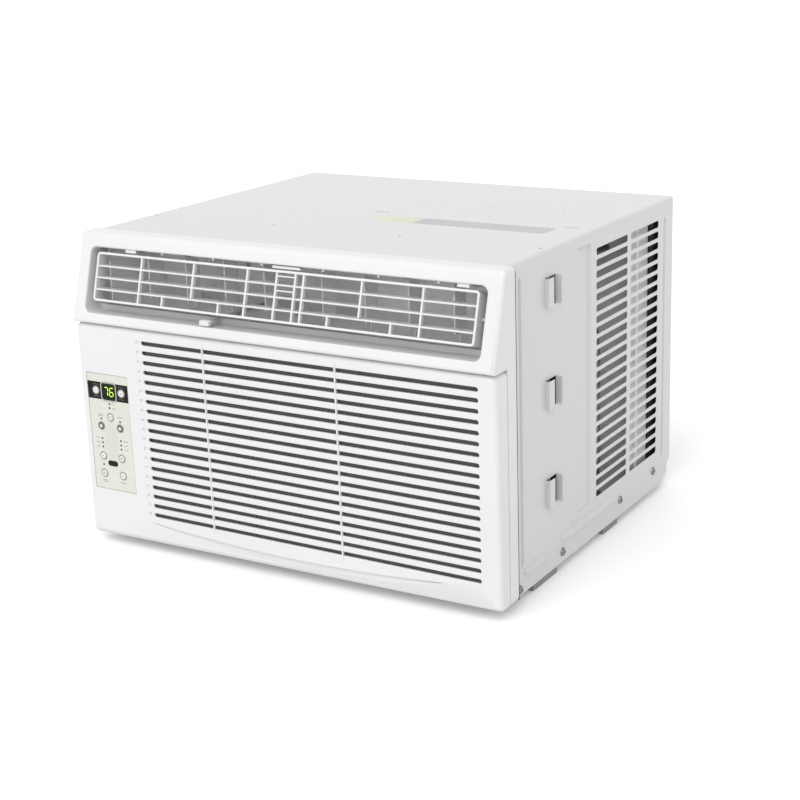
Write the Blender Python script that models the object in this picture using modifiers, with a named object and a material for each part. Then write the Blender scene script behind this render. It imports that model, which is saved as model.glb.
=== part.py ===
"""Window air conditioner, modelled as the parts that come apart on a bench.

Frame: origin at the centre of the footprint, on the surface the feet stand on.
+Z is up, the intake grille faces -Y, and +X is to the right of someone facing it.
The helpers take millimetres and scale them by MM.
"""
from math import atan2, cos, pi, radians, sin

import bmesh
import bpy
from mathutils import Matrix, Vector

MM = 0.001
GAP = 0.3

# Driving dimensions
WIDTH = 546.1
DEPTH = 482.6
HEIGHT = 370.8

# Front to back
NOSE_Y = -DEPTH / 2
REAR_Y = DEPTH / 2
PANEL_Y = NOSE_Y + 3
SEAM_Y = NOSE_Y + 48.5
PANEL_BACK_Y = NOSE_Y + 28.5
BULKHEAD_Y = -92

# Heights
PAN_Z = 10
NOSE_Z = 275
PANEL_TOP_Z = 269.5
TOP_SETBACK = 28

# Cabinet: folded sheet, inset from the front moulding so that its brackets stay inside the width
HALF = WIDTH / 2
SIDE_X = HALF - 8
SHEET = 1.2
CABINET_TOP_Z = HEIGHT - 0.5
SCREWS = ((-175, 17), (-71, 22), (87, 30), (187.5, 34))
BRACKET_Z = (325, 214, 103)

# Air outlet and its grid
OUTLET = dict(half=256, low=283, high=355)
LEAN = atan2(TOP_SETBACK, HEIGHT - NOSE_Z)
GRID = dict(width=494, height=56, depth=18, frame=2.2, slat=1.4, bar=1.9, bar_depth=5)
GRID_ROWS = 4
FULL_BARS = (-182.5, -36.5, 2, 26, 36.5, 182.5)
UPPER_BARS = (-109, 109)
LOWER_BARS = (-148.5, -71, 71, 148.5)
VANE_Y = -175
VANE_X = (38, 92, 146, 200)
LINK_ARM = 8

# Intake grille
SLOT_ROWS = 19
SLOT_PITCH = 11.42
SLOT_TOP_Z = 256.2
SLOT_HEIGHT = 4.7
SLOT_FIELDS = ((-176.4, -91.4), (-88.4, 82.1), (85.1, 253.3))

# Control plate and its buttons
PLATE = dict(x0=-261.5, x1=-201.5, z0=70.3, z1=210.7)
BUTTON_RADIUS = 4.3
BUTTONS = {
    "button_down": (-249.3, 190.4),
    "button_up": (-211.7, 190.4),
    "button_power": (-231, 159.5),
    "button_timer": (-245.5, 147.7),
    "button_sleep": (-217.5, 147.7),
    "button_mode": (-246.5, 110.8),
    "button_fan": (-218.7, 110.8),
    "button_auto": (-247, 89.4),
    "button_filter": (-219, 89.4),
}
DISPLAY = dict(x=-230.4, z=190.2, width=22, height=20)
RECEIVER = dict(x=-232.9, z=102.9, width=14, height=6)

# Fan line: one shaft turns the blower in front and the condenser fan behind
AXIS_X = -70
AXIS_Z = 180
SHAFT_RADIUS = 4

# Side louvres of the cabinet
LOUVRE_ROWS = 23
LOUVRE_PITCH = 12.9
LOUVRE_TOP_Z = 348
LOUVRE_HEIGHT = 8
LOUVRE_COLUMNS = ((19, 105), (115, 197))

WHITE_PLASTIC = dict(colour=(0.86, 0.86, 0.85), roughness=0.32)
GREY_PLASTIC = dict(colour=(0.52, 0.53, 0.54), roughness=0.5)
PAINTED_STEEL = dict(colour=(0.72, 0.72, 0.72), roughness=0.4)
CREAM = dict(colour=(0.66, 0.65, 0.58), roughness=0.4)
BLACK = dict(colour=(0.02, 0.02, 0.02), roughness=0.45)
GALVANISED = dict(colour=(0.55, 0.56, 0.57), roughness=0.35, metallic=1.0)
ALUMINIUM = dict(colour=(0.75, 0.76, 0.77), roughness=0.4, metallic=1.0)
COPPER = dict(colour=(0.72, 0.4, 0.25), roughness=0.3, metallic=1.0)


def make_collection(name):
    group = bpy.data.collections.new(name)
    bpy.context.scene.collection.children.link(group)
    return group


for leftover in list(bpy.data.objects):
    bpy.data.objects.remove(leftover, do_unlink=True)
PARTS = make_collection("window_air_conditioner")
CUTTERS = make_collection("cutters")


# ---------------------------------------------------------------- helpers

def material(name, colour, roughness, metallic=0.0):
    """A Principled material of one object."""
    made = bpy.data.materials.new(name)
    made.use_nodes = True
    shader = made.node_tree.nodes["Principled BSDF"]
    shader.inputs["Base Color"].default_value = (*colour, 1)
    shader.inputs["Roughness"].default_value = roughness
    shader.inputs["Metallic"].default_value = metallic
    return made


def add(name, bm, finish=None):
    """Turn a bmesh in metres into an object: a part with a finish, or a hidden cutter without."""
    mesh = bpy.data.meshes.new(name)
    bm.to_mesh(mesh)
    bm.free()
    obj = bpy.data.objects.new(name, mesh)
    if finish is None:
        CUTTERS.objects.link(obj)
        obj.hide_render = True
        obj.display_type = "WIRE"
    else:
        PARTS.objects.link(obj)
        obj.data.materials.append(material(name, **finish))
    return obj


def place(obj, point):
    """Move an object's origin to a point in millimetres and leave its surface where it is."""
    offset = Vector(point) * MM
    obj.data.transform(Matrix.Translation(-offset))
    obj.location = offset
    return obj


def grow_cube(bm, low, high):
    """Add one cube between two corners, in millimetres."""
    size = [(b - a) * MM for a, b in zip(low, high)]
    centre = [(a + b) / 2 * MM for a, b in zip(low, high)]
    at = Matrix.Translation(centre) @ Matrix.Diagonal((*size, 1))
    return bmesh.ops.create_cube(bm, size=1, matrix=at)["verts"]


def block(name, low, high, finish=None):
    bm = bmesh.new()
    grow_cube(bm, low, high)
    return add(name, bm, finish)


def blocks(name, corners):
    """One cutter made of separate cubes that don't touch."""
    bm = bmesh.new()
    for low, high in corners:
        grow_cube(bm, low, high)
    return add(name, bm)


def round_edges(obj, axis, radius, wanted=lambda middle: True, segments=3):
    """Round the straight edges that run along one axis and whose middle is wanted."""
    bm = bmesh.new()
    bm.from_mesh(obj.data)
    picked = []
    for edge in bm.edges:
        run = (edge.verts[1].co - edge.verts[0].co).normalized()
        middle = (edge.verts[0].co + edge.verts[1].co) / 2 / MM
        if abs(run[axis]) > 0.99 and wanted(middle):
            picked.append(edge)
    bmesh.ops.bevel(bm, geom=picked, offset=radius * MM, segments=segments, affect="EDGES", profile=0.5)
    bm.to_mesh(obj.data)
    bm.free()
    return obj


TURN_TO_AXIS = {
    "X": Matrix.Rotation(pi / 2, 4, "Y"),
    "Y": Matrix.Rotation(-pi / 2, 4, "X"),
    "Z": Matrix.Identity(4),
}


def rod(name, axis, start, length, radius, finish=None, segments=24, top=None):
    """A cylinder, or a cone where top is given, from a start point along +axis."""
    turn = TURN_TO_AXIS[axis]
    bm = bmesh.new()
    at = Matrix.Translation(Vector(start) * MM) @ turn @ Matrix.Translation((0, 0, length * MM / 2))
    bmesh.ops.create_cone(bm, cap_ends=True, segments=segments, radius1=radius * MM,
                          radius2=(radius if top is None else top) * MM, depth=length * MM, matrix=at)
    return add(name, bm, finish)


def prism(name, outline, axis, low, high, finish=None):
    """A flat outline filled as a 2D curve, extruded between two positions along an axis.

    Outline points are (y, z) for axis X, and (x, z) for axis Y.
    """
    curve = bpy.data.curves.new(name, "CURVE")
    curve.dimensions = "2D"
    curve.fill_mode = "BOTH"
    curve.extrude = (high - low) * MM / 2
    spline = curve.splines.new("POLY")
    spline.points.add(len(outline) - 1)
    for point, (u, v) in zip(spline.points, outline):
        point.co = (u * MM, v * MM, 0, 1)
    spline.use_cyclic_u = True
    middle = (low + high) / 2 * MM
    if axis == "X":
        at = Matrix(((0, 0, 1, middle), (1, 0, 0, 0), (0, 1, 0, 0), (0, 0, 0, 1)))
    else:
        at = Matrix(((1, 0, 0, 0), (0, 0, -1, middle), (0, 1, 0, 0), (0, 0, 0, 1)))
    return add_curve(name, curve, at, finish)


def add_curve(name, curve, at, finish):
    """Turn a curve into a closed mesh object, and remove the curve."""
    source = bpy.data.objects.new(name + "_curve", curve)
    bpy.context.scene.collection.objects.link(source)
    bpy.context.view_layer.update()
    shape = source.evaluated_get(bpy.context.evaluated_depsgraph_get())
    mesh = bpy.data.meshes.new_from_object(shape)
    bm = bmesh.new()
    bm.from_mesh(mesh)
    bmesh.ops.transform(bm, matrix=at, verts=bm.verts)
    bmesh.ops.remove_doubles(bm, verts=bm.verts, dist=0.01 * MM)
    bmesh.ops.dissolve_limit(bm, angle_limit=radians(1), verts=bm.verts, edges=bm.edges)
    bmesh.ops.recalc_face_normals(bm, faces=bm.faces)
    bpy.data.objects.remove(source, do_unlink=True)
    bpy.data.meshes.remove(mesh)
    return add(name, bm, finish)


def tube(name, points, radius, finish):
    """A bent tube through points in millimetres."""
    curve = bpy.data.curves.new(name, "CURVE")
    curve.dimensions = "3D"
    curve.bevel_depth = radius * MM
    curve.bevel_resolution = 2
    curve.use_fill_caps = True
    spline = curve.splines.new("POLY")
    spline.points.add(len(points) - 1)
    for point, position in zip(spline.points, points):
        point.co = (*(Vector(position) * MM), 1)
    return add_curve(name, curve, Matrix.Identity(4), finish)


def turned(name, profile, axis, centre, finish, steps=28):
    """A profile of (radius, height) points, top to bottom, turned about an axis through a centre."""
    mesh = bpy.data.meshes.new(name)
    bm = bmesh.new()
    corners = [bm.verts.new((r * MM, 0, h * MM)) for r, h in profile]
    for first, second in zip(corners, corners[1:]):
        bm.edges.new((first, second))
    bm.to_mesh(mesh)
    bm.free()
    obj = bpy.data.objects.new(name, mesh)
    PARTS.objects.link(obj)
    obj.data.materials.append(material(name, **finish))
    screw = obj.modifiers.new("turn", "SCREW")
    screw.axis = "Z"
    screw.steps = screw.render_steps = steps
    screw.use_merge_vertices = True
    screw.merge_threshold = 0.0001
    obj.matrix_world = Matrix.Translation(Vector(centre) * MM) @ TURN_TO_AXIS[axis]
    return obj


def combine(obj, tool, operation):
    modifier = obj.modifiers.new(operation.lower(), "BOOLEAN")
    modifier.operation = operation
    modifier.solver = "EXACT"
    modifier.object = tool
    return obj


def cut(obj, *tools):
    for tool in tools:
        combine(obj, tool, "DIFFERENCE")
    return obj


def join(obj, *tools):
    for tool in tools:
        combine(obj, tool, "UNION")
    return obj


# ---------------------------------------------------------------- cabinet

def cabinet_shell():
    """Folded top and sides with louvres, side brackets and a rear flange."""
    shell = block("cabinet_shell", (-SIDE_X, SEAM_Y + GAP, PAN_Z), (SIDE_X, REAR_Y, CABINET_TOP_Z), PAINTED_STEEL)
    inner = SIDE_X - SHEET
    room = block("cabinet_room", (-inner, SEAM_Y - 5, PAN_Z - 5), (inner, REAR_Y - SHEET, CABINET_TOP_Z - SHEET))
    back = block("cabinet_back_window", (-SIDE_X + 10, REAR_Y - 20, PAN_Z - 5), (SIDE_X - 10, REAR_Y + 5, 358))
    cut(shell, room, back)
    slots = []
    windows = []
    for row in range(LOUVRE_ROWS):
        z = LOUVRE_TOP_Z - row * LOUVRE_PITCH
        for y0, y1 in LOUVRE_COLUMNS:
            slots.append(((-SIDE_X - 5, y0, z - LOUVRE_HEIGHT / 2), (SIDE_X + 5, y1, z + LOUVRE_HEIGHT / 2)))
    for z in BRACKET_Z:
        windows.append(((-SIDE_X - 5, -109.5, z - 16), (SIDE_X + 5, -84, z + 16)))
    corner = block("cabinet_corner", (-SIDE_X - 5, REAR_Y - 9, PAN_Z - 5), (SIDE_X + 5, REAR_Y + 5, 25))
    cut(shell, blocks("louvre_slots", slots), blocks("bracket_windows", windows), corner)
    for side in (-1, 1):
        wall = SIDE_X - SHEET / 2
        for z in BRACKET_Z:
            for y0, y1, x0, x1 in ((-84.2, -83, wall, wall + 7.6), (-110.6, -109.4, wall, wall + 5.6),
                                   (-110.6, -98, wall + 4.4, wall + 5.6)):
                xs = sorted((side * x0, side * x1))
                join(shell, block("bracket_tab", (xs[0], y0, z - 16.5), (xs[1], y1, z + 16.5)))
    for side in (-1, 1):
        start = side * SIDE_X - 6
        for y, z in SCREWS:
            cut(shell, rod("screw_hole", "X", (start, y, z), 12, 2.3, segments=12))
    cut(shell, rod("gland_hole", "X", (-SIDE_X - 5, -150, 62), 10, 9.4, segments=20))


def cabinet_screws():
    """Pan-head screws through the cabinet's lower edge into the base pan, four on each side."""
    for side, word in ((-1, "left"), (1, "right")):
        for index, (y, z) in enumerate(SCREWS):
            head = SIDE_X + GAP
            profile = ((0, 2.6), (2.6, 2.3), (4.2, 1), (4.5, 0), (1.9, 0), (1.9, -7), (0, -8))
            obj = turned(f"screw_{word}_{index + 1}", profile, "Z", (0, 0, 0), GALVANISED, steps=12)
            turn = Matrix.Rotation(side * pi / 2, 4, "Y")
            obj.matrix_world = Matrix.Translation(Vector((side * head, y, z)) * MM) @ turn


def base_pan():
    """Stamped tray with a raised rim and six feet."""
    half = SIDE_X - SHEET - 0.8
    low, high = (-half, SEAM_Y + 2.7, PAN_Z), (half, REAR_Y - 1.8, PAN_Z + 32)
    pan = block("base_pan", low, high, GALVANISED)
    cut(pan, block("pan_room", (low[0] + 1.5, low[1] + 1.5, PAN_Z + 1.5), (high[0] - 1.5, high[1] - 1.5, high[2] + 5)))
    for side in (-1, 1):
        for x0, x1, y0, y1 in ((238, 257, -138, -80), (238, 257, 45, 85), (170, 200, 180, 212)):
            xs = sorted((side * x0, side * x1))
            join(pan, block("foot", (xs[0], y0, 0), (xs[1], y1, PAN_Z + 0.8)))
        for y, z in SCREWS:
            cut(pan, rod("pan_screw_hole", "X", (side * half - 5, y, z), 10, 2.3, segments=12))


# ---------------------------------------------------------------- front

def face_y(z):
    """Front surface of the leaning outlet face at a height."""
    return NOSE_Y + (z - NOSE_Z) * TOP_SETBACK / (HEIGHT - NOSE_Z)


def fascia():
    """Front moulding: the outlet surround above, and a frame behind the intake panel."""
    low_z = PAN_Z + 1
    outline = (
        (SEAM_Y, low_z), (SEAM_Y, HEIGHT), (face_y(HEIGHT) + 9, HEIGHT), (face_y(HEIGHT) + 2.6, HEIGHT - 2.4),
        (face_y(HEIGHT - 9), HEIGHT - 9), (NOSE_Y + 0.6, NOSE_Z + 2.5), (NOSE_Y, NOSE_Z),
        (NOSE_Y + 0.8, NOSE_Z - 3.5), (PANEL_Y, PANEL_TOP_Z + 0.6), (PANEL_BACK_Y + 0.9, PANEL_TOP_Z + 0.6),
        (PANEL_BACK_Y + 0.9, low_z),
    )
    body = prism("fascia", outline, "X", -HALF, HALF, WHITE_PLASTIC)
    opening = block("outlet_opening", (-OUTLET["half"], NOSE_Y - 10, OUTLET["low"]),
                    (OUTLET["half"], SEAM_Y + 10, OUTLET["high"]))
    round_edges(opening, 1, 7)
    window = block("intake_window", (-186, PANEL_BACK_Y - 10, 28), (262, SEAM_Y + 10, 258))
    pocket = block("control_pocket", (-268, PANEL_BACK_Y + 3, 28), (-190, SEAM_Y + 10, 258))
    above = block("upper_pocket", (-HALF + 3, face_y(360) + 3, 357.5), (HALF - 3, SEAM_Y + 10, 368.2))
    cheeks = blocks("cheek_pockets", [((-HALF + 2.6, -212, 286), (-258.6, SEAM_Y + 10, 352)),
                                      ((258.6, -212, 286), (HALF - 2.6, SEAM_Y + 10, 352))])
    cut(body, opening, window, pocket, above, cheeks)


def front_panel():
    """Intake grille panel: a shallow tray that tilts forward about its lower edge."""
    low, high = (-HALF, PANEL_Y, PAN_Z + 1), (HALF, PANEL_BACK_Y, PANEL_TOP_Z)
    panel = block("front_panel", low, high, WHITE_PLASTIC)
    round_edges(panel, 2, 9, lambda middle: middle.y < PANEL_Y + 1)
    round_edges(panel, 0, 9, lambda middle: middle.y < PANEL_Y + 1 and middle.z < 20)
    wall = 2.5
    room = block("panel_room", (low[0] + wall, low[1] + wall, low[2] + wall), (high[0] - wall, high[1] + 5, high[2] - wall))
    window = block("control_window", (PLATE["x0"] - 0.9, PANEL_Y - 5, PLATE["z0"] - 0.9),
                   (PLATE["x1"] + 0.9, PANEL_Y + 5, PLATE["z1"] + 0.9))
    slots = []
    for row in range(SLOT_ROWS):
        z = SLOT_TOP_Z - row * SLOT_PITCH
        for x0, x1 in SLOT_FIELDS:
            slots.append(((x0, PANEL_Y - 5, z - SLOT_HEIGHT / 2), (x1, PANEL_Y + 5, z + SLOT_HEIGHT / 2)))
    cut(panel, room, window, blocks("intake_slots", slots))
    place(panel, (0, PANEL_BACK_Y, PAN_Z + 4))


def air_filter():
    """Washable filter in a slim frame, held on the back of the intake panel."""
    obj = block("air_filter", (-182, PANEL_Y + 4, 34), (258, PANEL_Y + 8, 260), GREY_PLASTIC)
    cells = []
    for column in range(3):
        x = -178 + column * 144.7
        cells.append(((x, PANEL_Y - 5, 38), (x + 142.6, PANEL_Y + 5, 256)))
    cut(obj, blocks("filter_recess", cells))
    place(obj, (0, PANEL_BACK_Y, PAN_Z + 4))


def control_plate():
    """Overlay tray with the display window, receiver window and button holes."""
    low = (PLATE["x0"], PANEL_Y + 0.4, PLATE["z0"])
    high = (PLATE["x1"], PANEL_BACK_Y + 0.5, PLATE["z1"])
    plate = block("control_plate", low, high, CREAM)
    cut(plate, block("plate_room", (low[0] + 2, low[1] + 2.5, low[2] + 2), (high[0] - 2, high[1] + 5, high[2] - 2)))
    for name, (x, z) in BUTTONS.items():
        cut(plate, rod(name + "_hole", "Y", (x, low[1] - 5, z), 12, BUTTON_RADIUS + 0.35, segments=20))
    for piece in (DISPLAY, RECEIVER):
        half_w, half_h = piece["width"] / 2 + GAP, piece["height"] / 2 + GAP
        cut(plate, block("lens_hole", (piece["x"] - half_w, low[1] - 5, piece["z"] - half_h),
                         (piece["x"] + half_w, low[1] + 5, piece["z"] + half_h)))


def lens(name, piece, finish):
    """A window piece that fills its hole in the control plate."""
    front = PANEL_Y + 0.4
    obj = block(name, (piece["x"] - piece["width"] / 2, front, piece["z"] - piece["height"] / 2),
                (piece["x"] + piece["width"] / 2, front + 2.2, piece["z"] + piece["height"] / 2), finish)
    place(obj, (piece["x"], front, piece["z"]))


def buttons():
    """Round push buttons with a collar behind the plate; each travels back by 0.8 mm."""
    front = PANEL_Y + 0.4
    for name, (x, z) in BUTTONS.items():
        profile = ((0, 6.4), (BUTTON_RADIUS + 1.2, 6.4), (BUTTON_RADIUS + 1.2, 5), (BUTTON_RADIUS, 5),
                   (BUTTON_RADIUS, 1.4), (BUTTON_RADIUS - 0.7, 0.6), (0, 0.4))
        turned(name, profile, "Y", (x, front - 1.4, z), WHITE_PLASTIC, steps=20)


def control_parts():
    """Circuit board and fan capacitor in the pocket behind the control plate."""
    block("circuit_board", (-257, -226, 76), (-206, -224.4, 205), dict(colour=(0.05, 0.25, 0.1), roughness=0.5))
    rod("capacitor", "Z", (-228, -155, 30), 70, 20, ALUMINIUM, 28)


# ---------------------------------------------------------------- outlet

def outlet_grid():
    """Grid of slats and bars that tilts up and down on pins at its two ends."""
    width, height, depth = GRID["width"], GRID["height"], GRID["depth"]
    frame, slat, bar = GRID["frame"], GRID["slat"], GRID["bar"]
    centre_z = (OUTLET["low"] + OUTLET["high"]) / 2 + 1
    centre = (0, face_y(centre_z) + 3 + depth / 2, centre_z)
    low, high = (-width / 2, -depth / 2, -height / 2), (width / 2, depth / 2, height / 2)
    grid = block("outlet_grid", low, high, WHITE_PLASTIC)
    pitch = (height - 2 * frame + slat) / GRID_ROWS
    cells, channels = [], []
    edge = width / 2 - frame
    for row in range(GRID_ROWS):
        top = height / 2 - frame - row * pitch
        bottom = top - pitch + slat
        bars = FULL_BARS + (LOWER_BARS if row == GRID_ROWS - 1 else UPPER_BARS)
        stops = [-edge - bar / 2, *sorted(bars), edge + bar / 2]
        for left, right in zip(stops, stops[1:]):
            cells.append(((left + bar / 2, low[1] - 5, bottom), (right - bar / 2, high[1] - 3, top)))
        channels.append(((-edge, low[1] + GRID["bar_depth"], bottom), (edge, high[1] + 5, top)))
    cut(grid, blocks("grid_cells", cells), blocks("grid_channels", channels))
    pins = [rod("grid_pin", "X", (side, 0, 0), 6, 2.5, segments=16) for side in (-width / 2 - 5, width / 2 - 1)]
    join(grid, *pins)
    for obj in (grid, *pins, bpy.data.objects["grid_cells"], bpy.data.objects["grid_channels"]):
        obj.matrix_world = Matrix.Translation(Vector(centre) * MM) @ Matrix.Rotation(-LEAN, 4, "X")


def outlet_duct():
    """Channel from the blower up to the outlet opening, with a floor opening over the blower."""
    half, low, high = OUTLET["half"] - 2, OUTLET["low"] - 2.2, OUTLET["high"] + 2.2
    duct = block("outlet_duct", (-half, SEAM_Y + GAP, low), (half, BULKHEAD_Y - 2, high), GREY_PLASTIC)
    cut(duct, block("duct_room", (-half + 2, SEAM_Y - 5, low + 2), (half - 2, BULKHEAD_Y - 4, high - 2)),
        block("duct_floor_hole", (AXIS_X - 126, -147, low - 5), (AXIS_X + 126, -99, low + 5)),
        block("duct_vent_hole", (-118, BULKHEAD_Y - 8, 302), (-62, BULKHEAD_Y + 2, 338)))


def vanes():
    """Two banks of upright vanes with a pin at each end, each bank tied by a sliding link."""
    half, pin, low, high = 12, 1.6, 292, 349.6
    outline = ((-half, low), (-pin, low), (-pin, 283.3), (pin, 283.3), (pin, low), (half, low),
               (half, high), (pin, high), (pin, 354.5), (-pin, 354.5), (-pin, high), (-half, high))
    outline = [(VANE_Y + y, z) for y, z in outline]
    for side, word in ((-1, "left"), (1, "right")):
        for index, distance in enumerate(VANE_X):
            x = side * distance
            vane = prism(f"vane_{word}_{index + 1}", outline, "X", x - 0.8, x + 0.8, GREY_PLASTIC)
            place(vane, (x, VANE_Y, 320))
        y = VANE_Y + LINK_ARM
        ends = sorted((side * (VANE_X[0] - 8), side * (VANE_X[-1] + 8)))
        link = block(f"vane_link_{word}", (ends[0], y - 2, 350.2), (ends[1], y + 2, 352.4), GREY_PLASTIC)
        place(link, (sum(ends) / 2, y, 351))


def vent_control():
    """Pull lever on the outlet floor, and the flap that it opens over the fresh-air hole."""
    floor = OUTLET["low"] + GAP + 0.1
    lever = block("vent_lever", (-87, -234, floor), (-83, -104, floor + 3), WHITE_PLASTIC)
    join(lever, block("lever_knob", (-91, -238, floor), (-79, -231, floor + 5.5)))
    place(lever, (-85, -234, floor))
    door = block("vent_door", (-121, BULKHEAD_Y - 6, 298), (-59, BULKHEAD_Y - 4.4, 342), GREY_PLASTIC)
    place(door, (-90, BULKHEAD_Y - 5.2, 298))


# ---------------------------------------------------------------- inside

def air_system():
    """Blower housing, bulkhead and condenser shroud."""
    low, high = (AXIS_X - 130, -150, 48), (AXIS_X + 130, BULKHEAD_Y - 3, OUTLET["low"] - 2.6)
    scroll = block("blower_scroll", low, high, GREY_PLASTIC)
    round_edges(scroll, 1, 90, lambda middle: middle.z < 60, 6)
    room = block("scroll_room", (low[0] + 2.5, low[1] + 2.5, low[2] + 2.5), (high[0] - 2.5, high[1] - 2.5, high[2] + 5))
    round_edges(room, 1, 87.5, lambda middle: middle.z < 60, 6)
    cut(scroll, room, rod("scroll_inlet", "Y", (AXIS_X, -155, AXIS_Z), 10, 78, segments=36),
        rod("scroll_shaft_hole", "Y", (AXIS_X, BULKHEAD_Y - 8, AXIS_Z), 10, 9, segments=16))
    sheet = block("bulkhead", (-260, BULKHEAD_Y, 12), (260, BULKHEAD_Y + 1.2, 368), GALVANISED)
    cut(sheet, rod("bulkhead_hole", "Y", (AXIS_X, BULKHEAD_Y - 5, AXIS_Z), 12, 22, segments=24),
        block("bulkhead_vent_hole", (-118, BULKHEAD_Y - 5, 302), (-62, BULKHEAD_Y + 5, 338)))
    shroud = block("condenser_shroud", (-259, 148, 12), (259, 150, 367), GREY_PLASTIC)
    join(shroud, rod("shroud_collar", "Y", (AXIS_X, 112, AXIS_Z), 37, 168, segments=48))
    cut(shroud, rod("shroud_hole", "Y", (AXIS_X, 100, AXIS_Z), 60, 165, segments=48))


def fan_line():
    """Motor on its pedestal, and the shaft with the blower wheel and the condenser fan."""
    motor = rod("fan_motor", "Y", (AXIS_X, -52, AXIS_Z), 92, 58, PAINTED_STEEL, 32)
    round_edges_of_rim(motor)
    cut(motor, rod("motor_bore", "Y", (AXIS_X, -60, AXIS_Z), 120, SHAFT_RADIUS + 0.4, segments=16))
    stand = block("motor_bracket", (AXIS_X - 42, -36, PAN_Z + 1.8), (AXIS_X + 42, 24, AXIS_Z - 20), GALVANISED)
    cut(stand, rod("motor_seat", "Y", (AXIS_X, -50, AXIS_Z), 90, 58.4, segments=32),
        block("stand_opening", (AXIS_X - 38, -50, PAN_Z + 5), (AXIS_X + 38, 40, AXIS_Z - 66)))
    rod("motor_shaft", "Y", (AXIS_X, -142, AXIS_Z), 290, SHAFT_RADIUS, GALVANISED, 16)
    wheel = rod("blower_wheel", "Y", (AXIS_X, -143, AXIS_Z), 40, 92, BLACK, 36)
    cut(wheel, rod("wheel_room", "Y", (AXIS_X, -150, AXIS_Z), 44.5, 80, segments=36),
        rod("wheel_bore", "Y", (AXIS_X, -160, AXIS_Z), 80, SHAFT_RADIUS + GAP, segments=16))
    slots = bmesh.new()
    for index in range(18):
        turn = Matrix.Translation((AXIS_X * MM, 0, AXIS_Z * MM)) @ Matrix.Rotation(index * pi / 9, 4, "Y")
        for corner in grow_cube(slots, (76, -139, -5), (96, -108, 5)):
            corner.co = turn @ corner.co
    cut(wheel, add("wheel_slots", slots))
    fan = rod("condenser_fan", "Y", (AXIS_X, 108, AXIS_Z), 28, 34, BLACK, 24)
    for index in range(5):
        blade = block(f"fan_blade_{index}", (20, -1.2, -38), (152, 1.2, 38))
        twist = Matrix.Rotation(radians(28), 4, "X")
        spin = Matrix.Rotation(index * 2 * pi / 5, 4, "Y")
        blade.matrix_world = Matrix.Translation(Vector((AXIS_X, 124, AXIS_Z)) * MM) @ spin @ twist
        join(fan, blade)
    ring = rod("slinger_ring", "Y", (AXIS_X, 119, AXIS_Z), 10, 158, segments=48)
    cut(ring, rod("slinger_hole", "Y", (AXIS_X, 110, AXIS_Z), 30, 150, segments=48))
    join(fan, ring)
    cut(fan, rod("fan_bore", "Y", (AXIS_X, 90, AXIS_Z), 60, SHAFT_RADIUS + GAP, segments=16))
    for name in ("motor_shaft", "blower_wheel"):
        place(bpy.data.objects[name], (AXIS_X, 0, AXIS_Z))


def round_edges_of_rim(obj):
    """Soften the two rims of the motor's can."""
    bevel = obj.modifiers.new("rim", "BEVEL")
    bevel.width = 6 * MM
    bevel.segments = 2
    bevel.limit_method = "ANGLE"
    bevel.angle_limit = radians(60)


def cooling_circuit():
    """Coils, compressor, accumulator and the copper lines between them."""
    block("evaporator_coil", (-176, -184, PAN_Z + 3), (248, -158, 262), ALUMINIUM)
    block("condenser_coil", (-253, 196, PAN_Z + 3), (253, 236, 356), ALUMINIUM)
    x, y = 180, 52
    can = ((0, 275), (30, 271), (54, 258), (66, 238), (68, 215), (68, 60), (62, 42), (62, 34), (72, 31), (72, 27), (0, 27))
    turned("compressor", can, "Z", (x, y, 0), BLACK, 32)
    for index in range(3):
        angle = index * 2 * pi / 3 + pi / 2
        rod(f"compressor_foot_{index + 1}", "Z", (x + 58 * cos(angle), y + 58 * sin(angle), PAN_Z + 1.8), 14.6, 12,
            dict(colour=(0.03, 0.03, 0.03), roughness=0.8), 16)
    turned("accumulator", ((0, 205), (12, 202), (22, 190), (22, 82), (12, 70), (0, 67)), "Z", (x - 10, y - 98, 0), BLACK, 20)
    tube("suction_tube", ((170, -46, 205.4), (170, -46, 240), (172, -50, 290), (170, -56, 300), (150, -80, 302),
                          (150, -85, 302), (150, -88, 302)), 4.5, COPPER)
    tube("discharge_tube", ((180, 52, 275.4), (180, 54, 305), (186, 60, 318), (200, 90, 322), (215, 130, 322),
                            (220, 142, 322), (220, 147, 322)), 3.5, COPPER)
    tube("liquid_line", ((-210, 147, 60), (-210, 140, 60), (-205, 120, 50), (-190, 60, 40), (-180, -40, 40),
                         (-178, -80, 40), (-178, -90.4, 40)), 2.2, COPPER)


def cord_gland():
    """Grommet in the cabinet's left wall, where the supply cord would leave."""
    flange = rod("cord_gland", "X", (-SIDE_X - 3.4, -150, 62), 3, 13, BLACK, 24)
    join(flange, rod("gland_neck", "X", (-SIDE_X - 1, -150, 62), 9, 8.9, segments=20))
    cut(flange, rod("gland_bore", "X", (-SIDE_X - 10, -150, 62), 40, 4.2, segments=16))


cabinet_shell()
cabinet_screws()
base_pan()
fascia()
front_panel()
air_filter()
control_plate()
lens("display_lens", DISPLAY, BLACK)
lens("receiver_lens", RECEIVER, BLACK)
buttons()
control_parts()
outlet_grid()
outlet_duct()
vanes()
vent_control()
air_system()
fan_line()
cooling_circuit()
cord_gland()
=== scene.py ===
# %% [markdown]
# # A window air conditioner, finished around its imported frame
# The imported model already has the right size, the moving bodies and the collision shapes. This
# lesson gives it its looks: moulded plastic at the front, pressed and painted steel round the back,
# and the working parts inside. Every length below is in millimetres, because that is how such a
# unit is drawn. A mesh is scaled to metres once, when it becomes an object.

import math

import bmesh
import bpy
from mathutils import Matrix, Vector


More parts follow.
